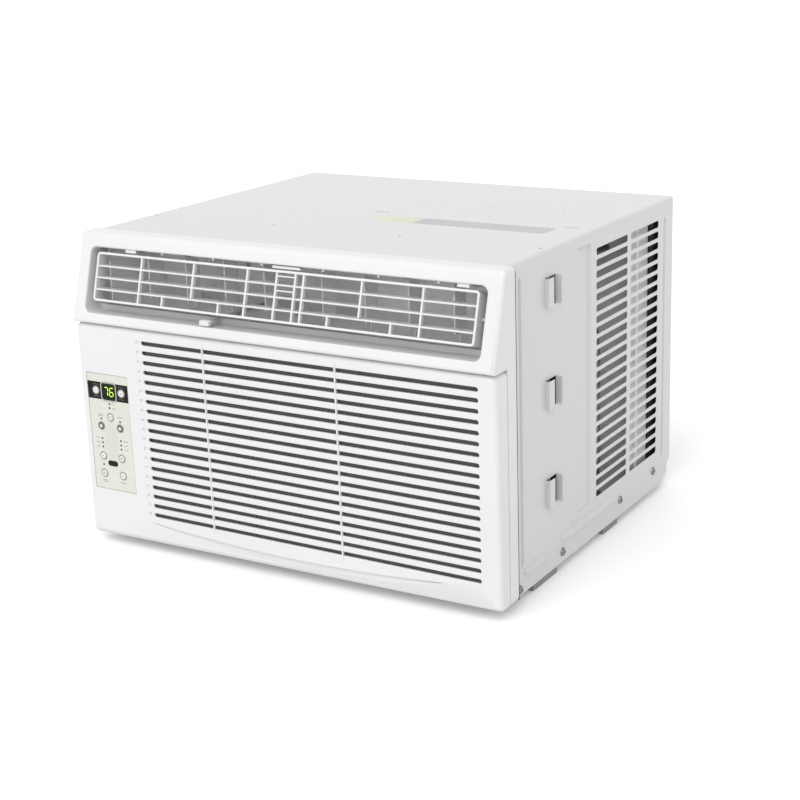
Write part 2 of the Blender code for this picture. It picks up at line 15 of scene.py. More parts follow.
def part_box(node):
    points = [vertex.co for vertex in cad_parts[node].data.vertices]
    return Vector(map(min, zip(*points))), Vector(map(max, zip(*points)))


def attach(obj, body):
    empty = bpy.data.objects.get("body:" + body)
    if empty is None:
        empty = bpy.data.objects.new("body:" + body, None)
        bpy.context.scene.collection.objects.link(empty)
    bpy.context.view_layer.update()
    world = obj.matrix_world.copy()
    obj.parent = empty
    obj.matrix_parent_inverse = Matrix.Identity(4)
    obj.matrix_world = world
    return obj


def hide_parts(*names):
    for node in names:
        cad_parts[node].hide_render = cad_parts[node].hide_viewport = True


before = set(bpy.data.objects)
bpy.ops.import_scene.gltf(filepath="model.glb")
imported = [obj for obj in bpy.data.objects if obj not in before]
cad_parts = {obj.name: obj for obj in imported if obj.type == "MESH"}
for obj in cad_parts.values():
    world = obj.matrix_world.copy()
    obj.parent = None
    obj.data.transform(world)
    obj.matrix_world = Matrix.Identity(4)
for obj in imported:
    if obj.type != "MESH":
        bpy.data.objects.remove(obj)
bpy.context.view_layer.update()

# %% [markdown]
# ## Where things are
# A flat face of the unit is easiest to draw on as if it were paper: so far across, so far up, so
# far in. A 4 by 4 matrix holds those three directions, and everything that is punched or moulded
# into a face is placed through it. The same slot can then be cut in the front, a side or the top.
# The other way would be to model each face lying flat and turn it afterwards, which has to be
# undone for every later change.

# %% Faces to draw on
MM = 0.001
ACROSS, BACK, UP = Vector((1, 0, 0)), Vector((0, 1, 0)), Vector((0, 0, 1))


def cad(node):
    """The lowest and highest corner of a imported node, in millimetres."""
    low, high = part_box(node)
    return low / MM, high / MM


def face_at(origin, across, up, into):
    """A flat face: a matrix from (across, up, depth) to the unit's own frame."""
    return Matrix.Translation(origin) @ Matrix((across, up, into)).transposed().to_4x4()


def spot(face, across, up, depth=0.0):
    return face @ Matrix.Translation((across, up, depth))


panel_low, panel_high = cad("front_panel")
fascia_low, fascia_high = cad("fascia")
shell_low, shell_high = cad("cabinet_shell")
SIDE_X = 265.05
LIP_Z, LIP_RISE, LIP_SETBACK = 275.0, 95.8, 28.0
lean = math.atan2(LIP_SETBACK, LIP_RISE)
lean_up = Vector((0, math.sin(lean), math.cos(lean)))
lean_in = Vector((0, math.cos(lean), -math.sin(lean)))

FRONT = face_at((0, panel_low.y, 0), ACROSS, UP, BACK)
LEANING = face_at((0, fascia_low.y, LIP_Z), ACROSS, lean_up, lean_in)
RIGHT = face_at((SIDE_X, 0, 0), BACK, UP, -ACROSS)
LEFT = face_at((-SIDE_X, 0, 0), BACK, UP, ACROSS)
TOP = face_at((0, 0, shell_high.z), ACROSS, BACK, -UP)
print("the upper face leans back", round(math.degrees(lean), 1), "degrees")

# %% [markdown]
# ## One outline, stepped in and out
# Slots, windows, beads and rims all share one idea: a rectangle with round corners, repeated a
# little larger or smaller at another depth, with skin between the copies. The rectangle is a
# one-square grid whose four corners are bevelled, and `bridge_loops` makes the skin. A Boolean cut
# would give the hole too, but not the soft moulded lip round it, and its triangles shade badly
# beside the lip.

# %% Outlines and the skin between them
def outline(bm, where, width, height, radius, segments=3):
    """A ring of edges: a rectangle with round corners, shaped in a small mesh of its own."""
    small = bmesh.new()
    grid = bmesh.ops.create_grid(
        small, x_segments=1, y_segments=1, size=0.5, matrix=Matrix.Diagonal((width, height, 1, 1))
    )
    bmesh.ops.bevel(
        small, geom=grid["verts"], offset=min(radius, 0.485 * min(width, height)),
        offset_type="OFFSET", segments=segments, profile=0.5, affect="VERTICES", material=-1,
    )
    small.faces.ensure_lookup_table()
    verts = [bm.verts.new(where @ v.co) for v in small.faces[0].verts]
    small.free()
    return [bm.edges.new(pair) for pair in zip(verts, verts[1:] + verts[:1])]


def stepped(bm, where, size, radius, steps, segments=3):
    """Rings grown and sunk by each step in turn, joined by skin. Returns the first ring and the last.

    A ring inside another at the very same depth can be bridged across the opening, so where that
    happens one of the two is set a hair deeper.
    """
    rings = []
    for grow, sink in steps:
        rings.append(outline(
            bm, where @ Matrix.Translation((0, 0, sink)), size[0] + 2 * grow,
            size[1] + 2 * grow, max(radius + grow, 0.15), segments,
        ))
        if len(rings) > 1:
            bmesh.ops.bridge_loops(bm, edges=rings[-2] + rings[-1])
    return rings[0], rings[-1]


def hole_lip(radius, parts=3):
    """Steps round the lip of a hole: wide at the face, and down into the wall."""
    turns = [math.pi / 2 * i / parts for i in range(parts + 1)]
    return [(radius * (1 - math.sin(t)), radius * (1 - math.cos(t))) for t in turns]


def rim_lip(radius, parts=4):
    """Steps round the outside of a moulding: narrow at the face, full width behind it."""
    return [(-grow, sink) for grow, sink in hole_lip(radius, parts)]


print("a 1 mm lip steps", [(round(a, 2), round(b, 2)) for a, b in hole_lip(1.0)])

# %% [markdown]
# ## Flat sheets, blocks and turned shapes
# A sheet full of holes is filled in one go: `triangle_fill` takes the outer ring and every hole's
# ring and covers only what lies between. Small bars and tabs are blocks with bevelled edges. Screw
# heads, buttons and pots are turned on a lathe, which is what `spin` is.

# %% Fill, block, lathe
def fill(bm, edges, face):
    """Covers the flat region between these rings."""
    bmesh.ops.triangle_fill(
        bm, use_beauty=True, use_dissolve=False, edges=edges,
        normal=face.to_3x3() @ Vector((0, 0, -1)),
    )


def closed_steps(bm, where, size, radius, steps, segments=3):
    """Stepped rings with both ends covered: a thin plate or a pad."""
    first, last = stepped(bm, where, size, radius, steps, segments)
    fill(bm, first, where)
    fill(bm, last, where)


def loop(bm, where, points):
    """A ring of straight edges through these (across, up) points."""
    verts = [bm.verts.new(where @ Vector((*point, 0))) for point in points]
    return [bm.edges.new(pair) for pair in zip(verts, verts[1:] + verts[:1])]


def block(bm, where, size, edge=0.0, segments=2):
    """A block of this size, its edges rounded."""
    cube = bmesh.ops.create_cube(bm, size=1, matrix=where @ Matrix.Diagonal((*size, 1)))
    if edge:
        bmesh.ops.bevel(
            bm, geom=list({e for v in cube["verts"] for e in v.link_edges}), offset=edge,
            offset_type="OFFSET", segments=segments, profile=0.5, affect="EDGES", material=-1,
        )


def span(bm, low, high, edge=0.0, segments=2):
    """A block from one corner to the other."""
    low, high = Vector(low), Vector(high)
    block(bm, Matrix.Translation((low + high) / 2), high - low, edge, segments)


def span_beside(bm, side, near, far, low, high, edge):
    """A block at one side of the unit, from `near` to `far` off the middle. low and high are (y, z)."""
    left, right = sorted((side * near, side * far))
    span(bm, (left, *low), (right, *high), edge)


def lathe(bm, where, profile, steps=32):
    """Turns (radius, height) points about the face's own outward direction."""
    verts = [bm.verts.new(where @ Vector((radius, 0, -out))) for radius, out in profile]
    edges = [bm.edges.new(pair) for pair in zip(verts, verts[1:])]
    bmesh.ops.spin(
        bm, geom=verts + edges, cent=where.translation,
        axis=where.to_3x3() @ Vector((0, 0, 1)), angle=2 * math.pi, steps=steps,
        use_merge=True,
    )


# %% [markdown]
# ## From mesh to piece
# Each mesh is tidied in the same way. Doubled points are merged, which also closes the poles of
# turned shapes, then the faces are turned outwards, then the millimetres become metres. Edges
# sharper than the crease angle stay sharp. A Weighted Normal modifier lets the large flat faces
# win, so a soft lip doesn't smear its shading over them.

# %% Make a piece
def piece(name, bm, body, finishes, stands_for=(), crease=38):
    bmesh.ops.remove_doubles(bm, verts=bm.verts[:], dist=0.004)
    bmesh.ops.recalc_face_normals(bm, faces=bm.faces[:])
    bmesh.ops.scale(bm, vec=(MM, MM, MM), verts=bm.verts[:])
    open_edges = sum(1 for e in bm.edges if len(e.link_faces) != 2)
    mesh = bpy.data.meshes.new(name)
    bm.to_mesh(mesh)
    bm.free()
    mesh.shade_smooth()
    mesh.set_sharp_from_angle(angle=math.radians(crease))
    made = bpy.data.objects.new(name, mesh)
    bpy.context.scene.collection.objects.link(made)
    made.modifiers.new("flat faces win", "WEIGHTED_NORMAL").keep_sharp = True
    for finish in finishes:
        mesh.materials.append(finish)
    if stands_for:
        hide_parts(*stands_for)
    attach(made, body)
    print(f"{name}: {len(mesh.polygons)} faces, {open_edges} open edges")
    return made


# %% [markdown]
# ## Finishes
# Nothing on a real appliance is one flat colour. A moulding has a fine spark-eroded grain, paint on
# steel has the slow ripple called orange peel, and both are a shade uneven over a hand's width. One
# helper builds that: a broad noise shifts the colour and the gloss a little, and a fine noise gives
# the relief. All of it reads Object coordinates, so it stays put when a body moves.

# %% A helper for finishes
def start_finish(name, rough, metal=0.0, coat=0.0):
    finish = bpy.data.materials.new(name)
    finish.use_nodes = True
    tree = finish.node_tree
    shader = tree.nodes["Principled BSDF"]
    shader.inputs["Roughness"].default_value = rough
    shader.inputs["Metallic"].default_value = metal
    shader.inputs["Coat Weight"].default_value = coat
    shader.inputs["Coat Roughness"].default_value = 0.12
    place = tree.nodes.new("ShaderNodeTexCoord")
    return finish, tree, shader, place.outputs["Object"]


def noise(tree, place, size, detail=3.0, stretch=(1, 1, 1)):
    """Noise whose blobs are about `size` millimetres across."""
    mapping = tree.nodes.new("ShaderNodeMapping")
    mapping.inputs["Scale"].default_value = stretch
    texture = tree.nodes.new("ShaderNodeTexNoise")
    texture.inputs["Scale"].default_value = 1 / (size * MM)
    texture.inputs["Detail"].default_value = detail
    tree.links.new(place, mapping.inputs["Vector"])
    tree.links.new(mapping.outputs["Vector"], texture.inputs["Vector"])
    return texture.outputs["Fac"]


def spread(tree, value, low, high, start=0.25, end=0.75):
    """Maps a noise value to a range, easing in and out so that no contour shows."""
    node = tree.nodes.new("ShaderNodeMapRange")
    node.interpolation_type = "SMOOTHSTEP"
    for socket, number in zip(node.inputs[1:5], (start, end, low, high)):
        socket.default_value = number
    tree.links.new(value, node.inputs["Value"])
    return node.outputs["Result"]


def blend_colours(tree, factor, first, second):
    node = tree.nodes.new("ShaderNodeMix")
    node.data_type = "RGBA"
    tree.links.new(factor, node.inputs[0])
    for socket, colour in ((node.inputs[6], first), (node.inputs[7], second)):
        if isinstance(colour, bpy.types.NodeSocket):
            tree.links.new(colour, socket)
        else:
            socket.default_value = (*colour, 1)
    return node.outputs[2]


def relief(tree, shader, height, depth, strength=0.5):
    """Bump `depth` millimetres deep."""
    bump = tree.nodes.new("ShaderNodeBump")
    bump.inputs["Strength"].default_value = strength
    bump.inputs["Distance"].default_value = depth * MM
    tree.links.new(height, bump.inputs["Height"])
    tree.links.new(bump.outputs["Normal"], shader.inputs["Normal"])


def uneven(name, colour, rough, metal=0.0, coat=0.0, shade=0.03, broad=90, grain=0.7,
           depth=0.02, stretch=(1, 1, 1), sheen=0.5):
    """The usual finish: broad changes of shade and gloss, and a fine grain."""
    finish, tree, shader, place = start_finish(name, rough, metal, coat)
    shader.inputs["Specular IOR Level"].default_value = sheen
    cloud = noise(tree, place, broad, 4.0, stretch)
    light = [min(1.0, c * (1 + shade)) for c in colour]
    dark = [c * (1 - shade) for c in colour]
    tint = blend_colours(tree, spread(tree, cloud, 0, 1), dark, light)
    tree.links.new(tint, shader.inputs["Base Color"])
    tree.links.new(spread(tree, cloud, rough - 0.02, rough + 0.04), shader.inputs["Roughness"])
    relief(tree, shader, noise(tree, place, grain, 2.0, stretch), depth)
    return finish


white_plastic = uneven("white moulded plastic", (0.55, 0.555, 0.56), 0.3, coat=0.25,
                       shade=0.012, grain=0.8, depth=0.015)
vane_plastic = uneven("matt white plastic", (0.88, 0.88, 0.88), 0.5, shade=0.02)
painted_steel = uneven("baked paint on steel", (0.48, 0.48, 0.485), 0.34, coat=0.3,
                       shade=0.015, grain=3.0, depth=0.03)
duct_foam = uneven("pale duct plastic", (0.92, 0.92, 0.92), 0.6, shade=0.05, grain=1.2)
black_plastic = uneven("black plastic", (0.02, 0.02, 0.022), 0.55, shade=0.15, sheen=0.25)
black_paint = uneven("compressor paint", (0.035, 0.035, 0.04), 0.3, coat=0.4, shade=0.2,
                     grain=2.5, depth=0.05)
rubber = uneven("rubber", (0.03, 0.03, 0.03), 0.8, shade=0.2, grain=0.5, depth=0.05)
ring_grey = uneven("grey button ring", (0.1, 0.1, 0.095), 0.4, shade=0.05)
print_grey = uneven("grey printed marks", (0.13, 0.13, 0.13), 0.55, shade=0.08)
label_grey = uneven("blank paper label", (0.38, 0.38, 0.39), 0.55, shade=0.04, grain=0.4)
label_yellow = uneven("pale end of the label", (0.52, 0.52, 0.42), 0.55, shade=0.04, grain=0.4)
plated = uneven("zinc plated screw", (0.24, 0.235, 0.23), 0.25, metal=1.0, shade=0.12,
                broad=6, grain=0.5, depth=0.02)
copper = uneven("tarnished copper tube", (0.2, 0.14, 0.11), 0.5, metal=0.6, shade=0.25, broad=15)
can_aluminium = uneven("drawn aluminium can", (0.72, 0.72, 0.72), 0.32, metal=1.0,
                       shade=0.05, stretch=(1, 1, 0.05))
print("finishes so far:", len(bpy.data.materials))

# %% [markdown]
# Some finishes have a pattern of their own. Galvanised sheet shows zinc crystals, which are Voronoi
# cells of different greys. Coil fins are thin bright edges side by side, so a wave pattern runs
# across them, with near black between them as painted shade in the gaps. The filter is a woven mesh,
# two waves at right angles, and the circuit board is a mottled green.

# %% Patterned finishes
def banded(tree, place, direction, pitch):
    """Stripes across one axis, one every `pitch` millimetres."""
    wave = tree.nodes.new("ShaderNodeTexWave")
    wave.bands_direction = direction
    wave.inputs["Scale"].default_value = 2 * math.pi / 20 / (pitch * MM)
    tree.links.new(place, wave.inputs["Vector"])
    return wave.outputs["Fac"]


def galvanised_sheet():
    finish, tree, shader, place = start_finish("galvanised sheet", 0.42, metal=0.35)
    cells = tree.nodes.new("ShaderNodeTexVoronoi")
    cells.inputs["Scale"].default_value = 1 / (9 * MM)
    tree.links.new(place, cells.inputs["Vector"])
    grey = tree.nodes.new("ShaderNodeRGBToBW")
    tree.links.new(cells.outputs["Color"], grey.inputs["Color"])
    tint = blend_colours(tree, grey.outputs["Val"], (0.6, 0.61, 0.62), (0.74, 0.75, 0.76))
    tree.links.new(tint, shader.inputs["Base Color"])
    tree.links.new(spread(tree, grey.outputs["Val"], 0.34, 0.5, 0, 1), shader.inputs["Roughness"])
    relief(tree, shader, noise(tree, place, 4), 0.03)
    return finish


def striped(name, first, second, metal, rough, directions, pitch, depth):
    finish, tree, shader, place = start_finish(name, rough, metal=metal)
    height = banded(tree, place, directions[0], pitch)
    if len(directions) > 1:
        both = tree.nodes.new("ShaderNodeMath")
        both.operation = "MAXIMUM"
        tree.links.new(height, both.inputs[0])
        tree.links.new(banded(tree, place, directions[1], pitch), both.inputs[1])
        height = both.outputs[0]
    worn = blend_colours(tree, spread(tree, noise(tree, place, 30), 0, 1),
                         [c * 0.85 for c in second], second)
    tree.links.new(blend_colours(tree, height, first, worn), shader.inputs["Base Color"])
    relief(tree, shader, height, depth)
    return finish


galvanised = galvanised_sheet()
# The near-black colour between the fin stripes is painted shade in the gaps between the fins.
coil_fins = striped("aluminium fins, painted shade between", (0.05, 0.05, 0.05), (0.72, 0.73, 0.74), 0.8, 0.4,
                    ("X",), 1.8, 0.4)
fin_metal = uneven("bare fin aluminium", (0.7, 0.71, 0.72), 0.36, metal=0.9, shade=0.06,
                   broad=40, stretch=(0.2, 1, 1))
filter_mesh = striped("filter mesh", (0.025, 0.025, 0.026), (0.11, 0.11, 0.112), 0.0, 0.8,
                      ("X", "Z"), 1.5, 0.3)
board_green = uneven("circuit board", (0.02, 0.12, 0.05), 0.35, coat=0.3, shade=0.3, broad=8)
print("galvanised, fins, mesh and board are ready")

# %% [markdown]
# The control plate is a printed film. Its cream colour shades to a cool grey in the middle, between
# the two columns of buttons, and a spherical gradient squeezed into an oval does that. The dark
# band, the display window and the glowing digits have finishes of their own.

# %% Control plate finishes
def overlay_film(middle):
    finish, tree, shader, place = start_finish("printed cream film", 0.38)
    mapping = tree.nodes.new("ShaderNodeMapping")
    mapping.vector_type = "TEXTURE"
    mapping.inputs["Location"].default_value = [c * MM for c in middle]
    mapping.inputs["Scale"].default_value = (0.012, 0.05, 0.03)
    tree.links.new(place, mapping.inputs["Vector"])
    ball = tree.nodes.new("ShaderNodeTexGradient")
    ball.gradient_type = "SPHERICAL"
    tree.links.new(mapping.outputs["Vector"], ball.inputs["Vector"])
    oval = spread(tree, ball.outputs["Fac"], 0, 1, 0.0, 0.35)
    cream = blend_colours(tree, spread(tree, noise(tree, place, 25), 0, 1),
                          (0.49, 0.487, 0.437), (0.52, 0.517, 0.465))
    tree.links.new(blend_colours(tree, oval, cream, (0.465, 0.47, 0.44)),
                   shader.inputs["Base Color"])
    relief(tree, shader, noise(tree, place, 0.35, 2.0), 0.01)
    return finish


plate_low, plate_high = cad("control_plate")
plate_middle = (plate_low + plate_high) / 2
cream_film = overlay_film((plate_middle.x, plate_low.y, 131))
band_black = uneven("black printed band", (0.01, 0.01, 0.011), 0.5, shade=0.2, sheen=0.12)
lens_black = uneven("smoked display window", (0.006, 0.008, 0.005), 0.25, shade=0.3, sheen=0.15)
bezel_grey = uneven("grey display bezel", (0.3, 0.31, 0.28), 0.4, shade=0.05)



def lit_segment():
    """Yellow-green plastic that glows a little."""
    finish, tree, shader, place = start_finish("lit display segment", 0.4)
    glow = blend_colours(tree, spread(tree, noise(tree, place, 2.5), 0, 1),
                         (0.42, 0.75, 0.03), (0.6, 0.95, 0.06))
    tree.links.new(glow, shader.inputs["Base Color"])
    tree.links.new(glow, shader.inputs["Emission Color"])
    shader.inputs["Emission Strength"].default_value = 0.5
    return finish


lit_digit = lit_segment()
print("control plate centre, mm:", [round(c, 1) for c in plate_middle])

# %% [markdown]
# ## Camera, floor and light
# The camera stands to the right of the unit and a little above it. Its height and turn come from
# the way the parallel edges of the cabinet meet, and the small roll and shift from how the unit
# sits in the frame.

# %% Camera
EYE = Vector((0.9804, -1.5571, 0.7057))
TURN, DIP, ROLL = math.radians(30.66), math.radians(16.42), math.radians(-1.66)

ahead = Vector((-math.sin(TURN) * math.cos(DIP), math.cos(TURN) * math.cos(DIP), -math.sin(DIP)))
level = Vector((math.cos(TURN), math.sin(TURN), 0))
above = level.cross(ahead)
right = level * math.cos(ROLL) + above * math.sin(ROLL)
over = -level * math.sin(ROLL) + above * math.cos(ROLL)
lens = bpy.data.cameras.new("camera")
lens.lens, lens.sensor_width = 71.56, 36
lens.shift_x, lens.shift_y = -0.037, -0.0207
lens.clip_end = 200
camera = bpy.data.objects.new("camera", lens)
camera.matrix_world = Matrix.Translation(EYE) @ Matrix((right, over, -ahead)).transposed().to_4x4()
bpy.context.scene.collection.objects.link(camera)
bpy.context.scene.camera = camera
print("camera", round(EYE.length, 2), "m from the unit")

# %% [markdown]
# The light is a white studio. The surround is white all round, and one big soft lamp comes from
# high in front, only just to the right. It makes the front the brightest face, the top nearly as
# bright, and leaves the sides a shade darker. A sun lamp with a wide angle is that soft, and it
# lights the floor evenly to the horizon.

# %% Floor and lights
KEY_FROM = (0.12, -0.78, 0.8)
KEY_STRENGTH = 2.1

world = bpy.data.worlds.new("white studio")
world.use_nodes = True
world.node_tree.nodes["Background"].inputs["Color"].default_value = (1, 1, 1, 1)
world.node_tree.nodes["Background"].inputs["Strength"].default_value = 1.0
bpy.context.scene.world = world
bpy.context.scene.view_settings.view_transform = "Standard"
key = bpy.data.lights.new("key", "SUN")
key.energy, key.angle = KEY_STRENGTH, math.radians(60)
key_lamp = bpy.data.objects.new("key", key)
key_lamp.rotation_euler = Vector(KEY_FROM).to_track_quat("Z", "Y").to_euler()
bpy.context.scene.collection.objects.link(key_lamp)

floor_finish = uneven("pale floor", (0.76, 0.76, 0.76), 0.6, shade=0.004, broad=600, grain=3)
floor_shader = floor_finish.node_tree.nodes["Principled BSDF"]
floor_shader.inputs["Emission Color"].default_value = (1, 1, 1, 1)
floor_shader.inputs["Emission Strength"].default_value = 0.1
floor_mesh = bmesh.new()
bmesh.ops.create_grid(floor_mesh, x_segments=8, y_segments=8, size=30)
floor_data = bpy.data.meshes.new("floor")
floor_mesh.to_mesh(floor_data)
floor_mesh.free()
floor_data.materials.append(floor_finish)
floor = bpy.data.objects.new("floor", floor_data)
bpy.context.scene.collection.objects.link(floor)

# %% [markdown]
# ## The intake panel
# The front grille is one injection moulding about 2.6 mm thick with nineteen long slots. Its front
# and back are two filled sheets that share the slots' rings, and a skirt runs back from the rim to
# the fascia. Two thin upright ribs tie the slats together, and a window at the left leaves the
# control plate standing still when the panel tips out.

# %% Intake panel sizes
WALL = 2.6
SLOT_ROWS, SLOT_PITCH, SLOT_HEIGHT, SLOT_TOP = 19, 11.42, 4.7, 256.2
SLOT_ENDS = (-176.4, 253.3)
RIB_X, RIB_WIDTH, RIB_LENGTH = (-89.9, 83.6), 1.9, 222
slot_rows = [SLOT_TOP - SLOT_HEIGHT / 2 - SLOT_PITCH * i for i in range(SLOT_ROWS)]
slot_middle = sum(SLOT_ENDS) / 2
print("slots from", round(slot_rows[0], 1), "down to", round(slot_rows[-1], 1))

# %% Intake panel skin
panel = bmesh.new()
panel_size = (panel_high.x - panel_low.x, panel_high.z - panel_low.z)
panel_spot = spot(FRONT, 0, (panel_high.z + panel_low.z) / 2)
skirt = panel_high.y - panel_low.y
rim_steps = rim_lip(7.5, 6) + [(0, skirt), (-WALL, skirt), (-WALL, 9), (-5.5, WALL)]
front_ring, back_ring = stepped(panel, panel_spot, panel_size, 8.0, rim_steps, segments=5)
front_edges, back_edges = list(front_ring), list(back_ring)

for row in slot_rows:
    first, last = stepped(
        panel, spot(FRONT, slot_middle, row), (SLOT_ENDS[1] - SLOT_ENDS[0], SLOT_HEIGHT),
        SLOT_HEIGHT / 2, hole_lip(1.2) + [(0, WALL)], segments=4,
    )
    front_edges += first
    back_edges += last
print("slots cut:", len(slot_rows))

# %% [markdown]
# Left of each slot there is a shallow thumbnail dimple, and a long crease arches over the chin. The
# crease starts as a circle pulled out into a long lens. Its deepest line lies close under the upper
# edge, so it reads as a fold with a soft slope below it.

# %% Dimples and the chin crease
DIMPLE_SIZE, DIMPLE_GAP = (4.6, 5.4), 5.4
for row in slot_rows:
    first, last = stepped(panel, spot(FRONT, SLOT_ENDS[0] - DIMPLE_GAP, row), DIMPLE_SIZE, 2.2,
                          [(0, 0), (-0.5, 0.9), (-1.3, 1.6)])
    front_edges += first
    fill(panel, last, FRONT)


CREASE_REACH, CREASE_CROWN, CREASE_FALL, CREASE_MIDDLE = 198.0, 29.8, 9.5, 14
CHIN_HALF, CURL_START, CURL_GAIN = 280, 0.22, 0.022


def chin_line(gap, drop, sink, reach):
    """One ring of the crease: its upper side follows the arch and its lower side hangs below it."""
    ring = bmesh.ops.create_circle(panel, segments=64, radius=1.0, cap_ends=False)["verts"]
    for v in ring:
        arch = CREASE_CROWN + CREASE_FALL * (v.co.x * reach / CREASE_REACH) ** 2 - gap
        v.co = FRONT @ Vector((CREASE_MIDDLE + v.co.x * reach, arch + min(v.co.y, 0.0) * drop, sink))
    return list({e for v in ring for e in v.link_edges})


crease_rings = [chin_line(0.0, 10.6, 0.0, 198), chin_line(0.5, 8.6, 0.5, 194),
                chin_line(0.7, 3.6, 2.6, 190), chin_line(1.1, 1.8, 3.1, 187)]
for upper, lower in zip(crease_rings, crease_rings[1:]):
    bmesh.ops.bridge_loops(panel, edges=upper + lower)
front_edges += crease_rings[0]


def chin_fall(point):
    """How far the chin has curled back at this point: not at all above the crease, more below it."""
    across = point.x - CREASE_MIDDLE
    below = max(CREASE_CROWN + CREASE_FALL * (across / CREASE_REACH) ** 2 - point.z, 0)
    ends = max(1 - (across / CHIN_HALF) ** 4, 0)
    skin = min(max((panel_high.y - 4 - point.y) / 12, 0), 1)
    return (CURL_START * below + CURL_GAIN * below ** 2) * ends * skin


fill(panel, crease_rings[-1], FRONT)
print("dimples:", SLOT_ROWS, "and one crease")

# %% Control window, ribs, and the finished panel
window_size = (plate_high.x - plate_low.x + 0.7, plate_high.z - plate_low.z + 0.7)
first, last = stepped(panel, spot(FRONT, plate_middle.x, plate_middle.z), window_size, 1.2,
                      hole_lip(0.5, 2) + [(0, WALL)])
fill(panel, front_edges + first, FRONT)
fill(panel, back_edges + last, FRONT)
for v in panel.verts:
    v.co.y += chin_fall(v.co)
for x in RIB_X:
    middle = (slot_rows[0] + slot_rows[-1]) / 2
    block(panel, spot(FRONT, x, middle, WALL / 2 - 0.3), (RIB_WIDTH, RIB_LENGTH, WALL + 0.5), 0.5)
piece("intake_panel", panel, "intake_panel", [white_plastic], ["front_panel"])

# %% [markdown]
# ## The fascia
# Above the panel a deep moulding leans back and carries the air outlet. It starts as a block whose
# front is tipped to the slope, and all the edges that are seen are bevelled together, so that the
# corners come out as clean round patches. Then its front and back are opened and refilled round the
# outlet. A frame below it, hidden behind the intake panel but for its edge, carries the moulding's
# side down to the floor of the cabinet.

# %% Leaning block
def open_face(bm, direction):
    """Takes out the largest face that looks this way, and returns the edges round it."""
    bm.normal_update()
    seen = [f for f in bm.faces if f.normal.dot(Vector(direction)) > 0.999]
    face = max(seen, key=lambda f: f.calc_area())
    edges = list(face.edges)
    bmesh.ops.delete(bm, geom=[face], context="FACES_ONLY")
    return edges


SEAM_Y = fascia_high.y
hood_floor = panel_high.z + 0.8
half = fascia_high.x
fascia = bmesh.new()
bmesh.ops.create_cube(
    fascia, size=1,
    matrix=Matrix.Translation((0, SEAM_Y / 2 + fascia_low.y / 2, (hood_floor + fascia_high.z) / 2))
    @ Matrix.Diagonal((2 * half, SEAM_Y - fascia_low.y, fascia_high.z - hood_floor, 1)),
)
for v in fascia.verts:
    if v.co.y < SEAM_Y - 1:
        v.co.y = fascia_low.y + (v.co.z - LIP_Z) * LIP_SETBACK / LIP_RISE + 0.3
seen_edges = [
    e for e in fascia.edges
    if min(v.co.y for v in e.verts) < SEAM_Y - 1
    and not (max(v.co.y for v in e.verts) > SEAM_Y - 1 and e.verts[0].co.z < LIP_Z)
]
bmesh.ops.bevel(
    fascia, geom=seen_edges, offset=5.2, offset_type="OFFSET", segments=6, profile=0.5,
    affect="EDGES", material=-1,
)
print("fascia block:", len(fascia.faces), "faces after its edges are rounded")

# %% Outlet opening
OUTLET_HALF, OUTLET_LOW, OUTLET_HIGH = 256.0, 283.0, 355.0
THROAT_SIZE = (508, 76)
outlet_rise = (OUTLET_HIGH - OUTLET_LOW) / math.cos(lean)
outlet_up = ((OUTLET_LOW + OUTLET_HIGH) / 2 - LIP_Z) / math.cos(lean)
OUTLET = spot(LEANING, 0, outlet_up, 0.3)
seen_ring = open_face(fascia, -lean_in)
hidden_ring = open_face(fascia, BACK)
lip, throat = stepped(fascia, OUTLET, (2 * OUTLET_HALF, outlet_rise), 8.0,
                      hole_lip(2.2, 4) + [(-0.6, 12)], segments=6)
fill(fascia, seen_ring + lip, LEANING)
BEHIND = face_at((0, SEAM_Y, 0), ACROSS, UP, BACK)
throat_back = outline(fascia, spot(BEHIND, 0, (OUTLET_LOW + OUTLET_HIGH) / 2), *THROAT_SIZE, 6.0, 6)
bmesh.ops.bridge_loops(fascia, edges=throat + throat_back)
fill(fascia, hidden_ring + throat_back, BEHIND)
print("outlet", round(2 * OUTLET_HALF), "by", round(outlet_rise, 1))

# %% Lower frame and the clips over the grid
frame_top = LIP_Z + 12
FRAME_GAP, FRAME_WALL = 1.7, 7
frame_size = (2 * half - 0.1, frame_top - panel_low.z)
FRAME_FRONT = face_at((0, panel_high.y + FRAME_GAP, 0), ACROSS, UP, BACK)
frame_spot = spot(FRAME_FRONT, 0, (frame_top + panel_low.z) / 2)
depth = SEAM_Y - panel_high.y - FRAME_GAP
outer_first, outer_last = stepped(fascia, frame_spot, frame_size, 8.0,
                                  rim_lip(1.2, 2) + [(0, depth)], segments=5)
inner_size = [side - 2 * FRAME_WALL for side in frame_size]
inner_first, inner_last = stepped(fascia, frame_spot, inner_size, 5.0, [(0, 0), (0, depth)],
                                  segments=5)
fill(fascia, outer_first + inner_first, FRAME_FRONT)
fill(fascia, outer_last + inner_last, FRAME_FRONT)

CLIPS, TEETH = ((-200, 15), (13, 36), (227, 14)), (-156, -85, -20, 59, 127, 198)
edge_up = outlet_rise / 2
for x, width in CLIPS:
    block(fascia, spot(OUTLET, x, edge_up - 1.6, 4.2), (width, 4.0, 3.0), 0.6)
for x in TEETH:
    block(fascia, spot(OUTLET, x, edge_up - 0.8, 5.0), (2.4, 3.0, 2.4), 0.4)
piece("outlet_fascia", fascia, "cabinet", [white_plastic], ["fascia"])

# %% [markdown]
# Beside the clips the moulding has small pockets where its catches snap in. They are drawn as thin
# black patches on the inner wall, painted shade in place of the hollows, as nothing can be seen inside
# them.

# %% Catch pockets, drawn in painted shade
POCKETS = ((-182, 9), (-121, 9), (13, 40), (162, 9), (242, 11))
# These black patches are painted shade where the hollow catch pockets are.
pocket_shade_patches = bmesh.new()
for x, width in POCKETS:
    block(pocket_shade_patches, spot(OUTLET, x, edge_up - 0.35, 2.9), (width, 0.5, 2.4), 0.1)
piece("catch_pocket_shade", pocket_shade_patches, "cabinet", [black_plastic])

